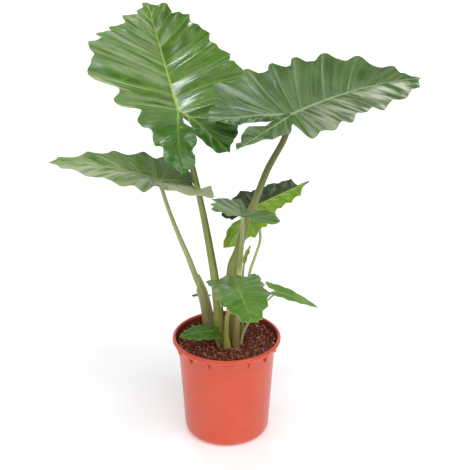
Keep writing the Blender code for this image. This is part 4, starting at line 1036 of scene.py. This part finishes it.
def makeSoil():
    segments, rings, wall = soil["segments"], soil["rings"], soil["wall"]
    surface = [(soil["edge"] * (1 - k / rings), 0.0) for k in range(rings)]
    points, faces = turned(wall + surface + [(0.0, 0.0)], segments)
    for i in range((len(wall) - 1) * segments, len(points)):
        if i != len(points) - 2:   # the middle of the underside
            points[i, 2] = soilHeight(points[i, 0], points[i, 1])
    rng = random.Random(11)
    stems = [leaf["stalk"][0] for leaf in (upperLeft, upperRight, leftLeaf, backLeaf, middleLeaf, frontLeaf,
                                           rightLeaf, lowLeaf, youngLeaf, littleLeaf)]
    bits = []
    for k in range(soil["crumbs"] + soil["slivers"]):
        r, a = soil["edge"] * 0.985 * math.sqrt(rng.random()), rng.uniform(0, math.tau)
        x, y = r * math.cos(a), r * math.sin(a)
        if not any(math.hypot(x - s[0], y - s[1]) < s[3] + 0.001 for s in stems):
            bits.append(crumb(rng, x, y, k >= soil["crumbs"]))
    for x, y, length, yaw, shade in soil["rootBits"]:
        corners = [(a * length, b * 0.0016, c * 0.0014 + a * length * 0.35) for a, b, c in crumbPoints]
        bits.append((laidDown(corners, x, y, 0.002, yaw), shade))
    tones = [0.40] * len(points) + [shade for _, shade in bits for _ in crumbPoints]
    for k in range(len(bits)):
        start = len(points) + k * len(crumbPoints)
        faces += [tuple(start + c for c in f) for f in crumbFaces]
    points = np.vstack([points] + [bit for bit, _ in bits])
    piece = meshObject("peat", points, faces, [soilSkin()], {"crumbTone": tones})
    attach(piece, "root")
    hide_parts("soil")
    print("soil", len(piece.data.polygons))


makeSoil()


# Floor, light and camera

def floorSkin():
    # white acrylic-coated board: matt white with a faint soft reflection of what stands on it
    material, tree, shader = newMaterial("white_board")
    place = addNode(tree, "TexCoord").outputs["Object"]
    cloud = addNode(tree, "TexNoise", {"Vector": place, "Scale": 3.0, "Detail": 2.0})
    white = addNode(tree, "ValToRGB", [cloud], stops=[(0.3, "#F6F6F6"), (0.7, "#FAFAFA")])
    # a little light of its own keeps the board white where the lamps fall off
    setInputs(tree, shader, {
        "Base Color": white, "Emission Color": white, "Emission Strength": 0.2, "Roughness": 0.10, "IOR": 1.5,
        "Coat Weight": 1.0, "Coat Roughness": 0.18})
    return material


floorCorners = [(-70, -70, 0), (70, -70, 0), (70, 70, 0), (-70, 70, 0)]
floor = meshObject("floor", floorCorners, [(0, 1, 2, 3)], [floorSkin()])


def addLamp(name, place, target, strength, colour, size=None):
    # a soft box with a size, or a wide soft sun
    lamp = bpy.data.lights.new(name, "AREA" if size else "SUN")
    lamp.energy, lamp.color = strength, linearColour(colour)[:3]
    if size:
        lamp.shape, lamp.size, lamp.size_y = "RECTANGLE", *size
    else:
        lamp.angle = math.radians(70)
    holder = bpy.data.objects.new(name, lamp)
    bpy.context.scene.collection.objects.link(holder)
    holder.location = place
    holder.rotation_euler = (Vector(target) - Vector(place)).to_track_quat("-Z", "Y").to_euler()
    holder.visible_camera = False


addLamp("ceiling_bounce", (0.4, -3, 4.6), (0, 0, 0.4), 2.0, "#FFFFFF")
addLamp("back_softbox", (-0.97, 2.2, 2.6), (0, 0, 0.8), 11, "#F4F9FF", (0.42, 0.28))
addLamp("top_softbox", (0.05, -0.35, 3.9), (0.1, 0, 0.7), 9, "#F2F8FF", (0.5, 0.3))
addLamp("right_softbox", (1.85, -1.35, 3.3), (0.1, 0, 0.7), 20, "#F8FBFF", (1.1, 0.8))
addLamp("back_wall", (0.2, 5.0, 1.3), (0, 0, 1.3), 40, "#FFFFFF", (7.0, 2.6))

world = bpy.data.worlds.new("studio")
bpy.context.scene.world = world
world.use_nodes = True
setInputs(world.node_tree, world.node_tree.nodes["Background"], {"Color": "#FCFDFF", "Strength": 0.42})

# fitted to the ellipses of the pot in the photograph
camera = bpy.data.objects.new("camera", bpy.data.cameras.new("camera"))
bpy.context.scene.collection.objects.link(camera)
camera.location = (0.0193, -2.3, 1.505)
camera.rotation_euler = (math.radians(90 - 23.7), 0, 0)
camera.data.angle = 2 * math.atan(235 / 1132)
bpy.context.scene.camera = camera
bpy.context.scene.view_settings.view_transform = "Standard"
print("floor, lamps and camera")
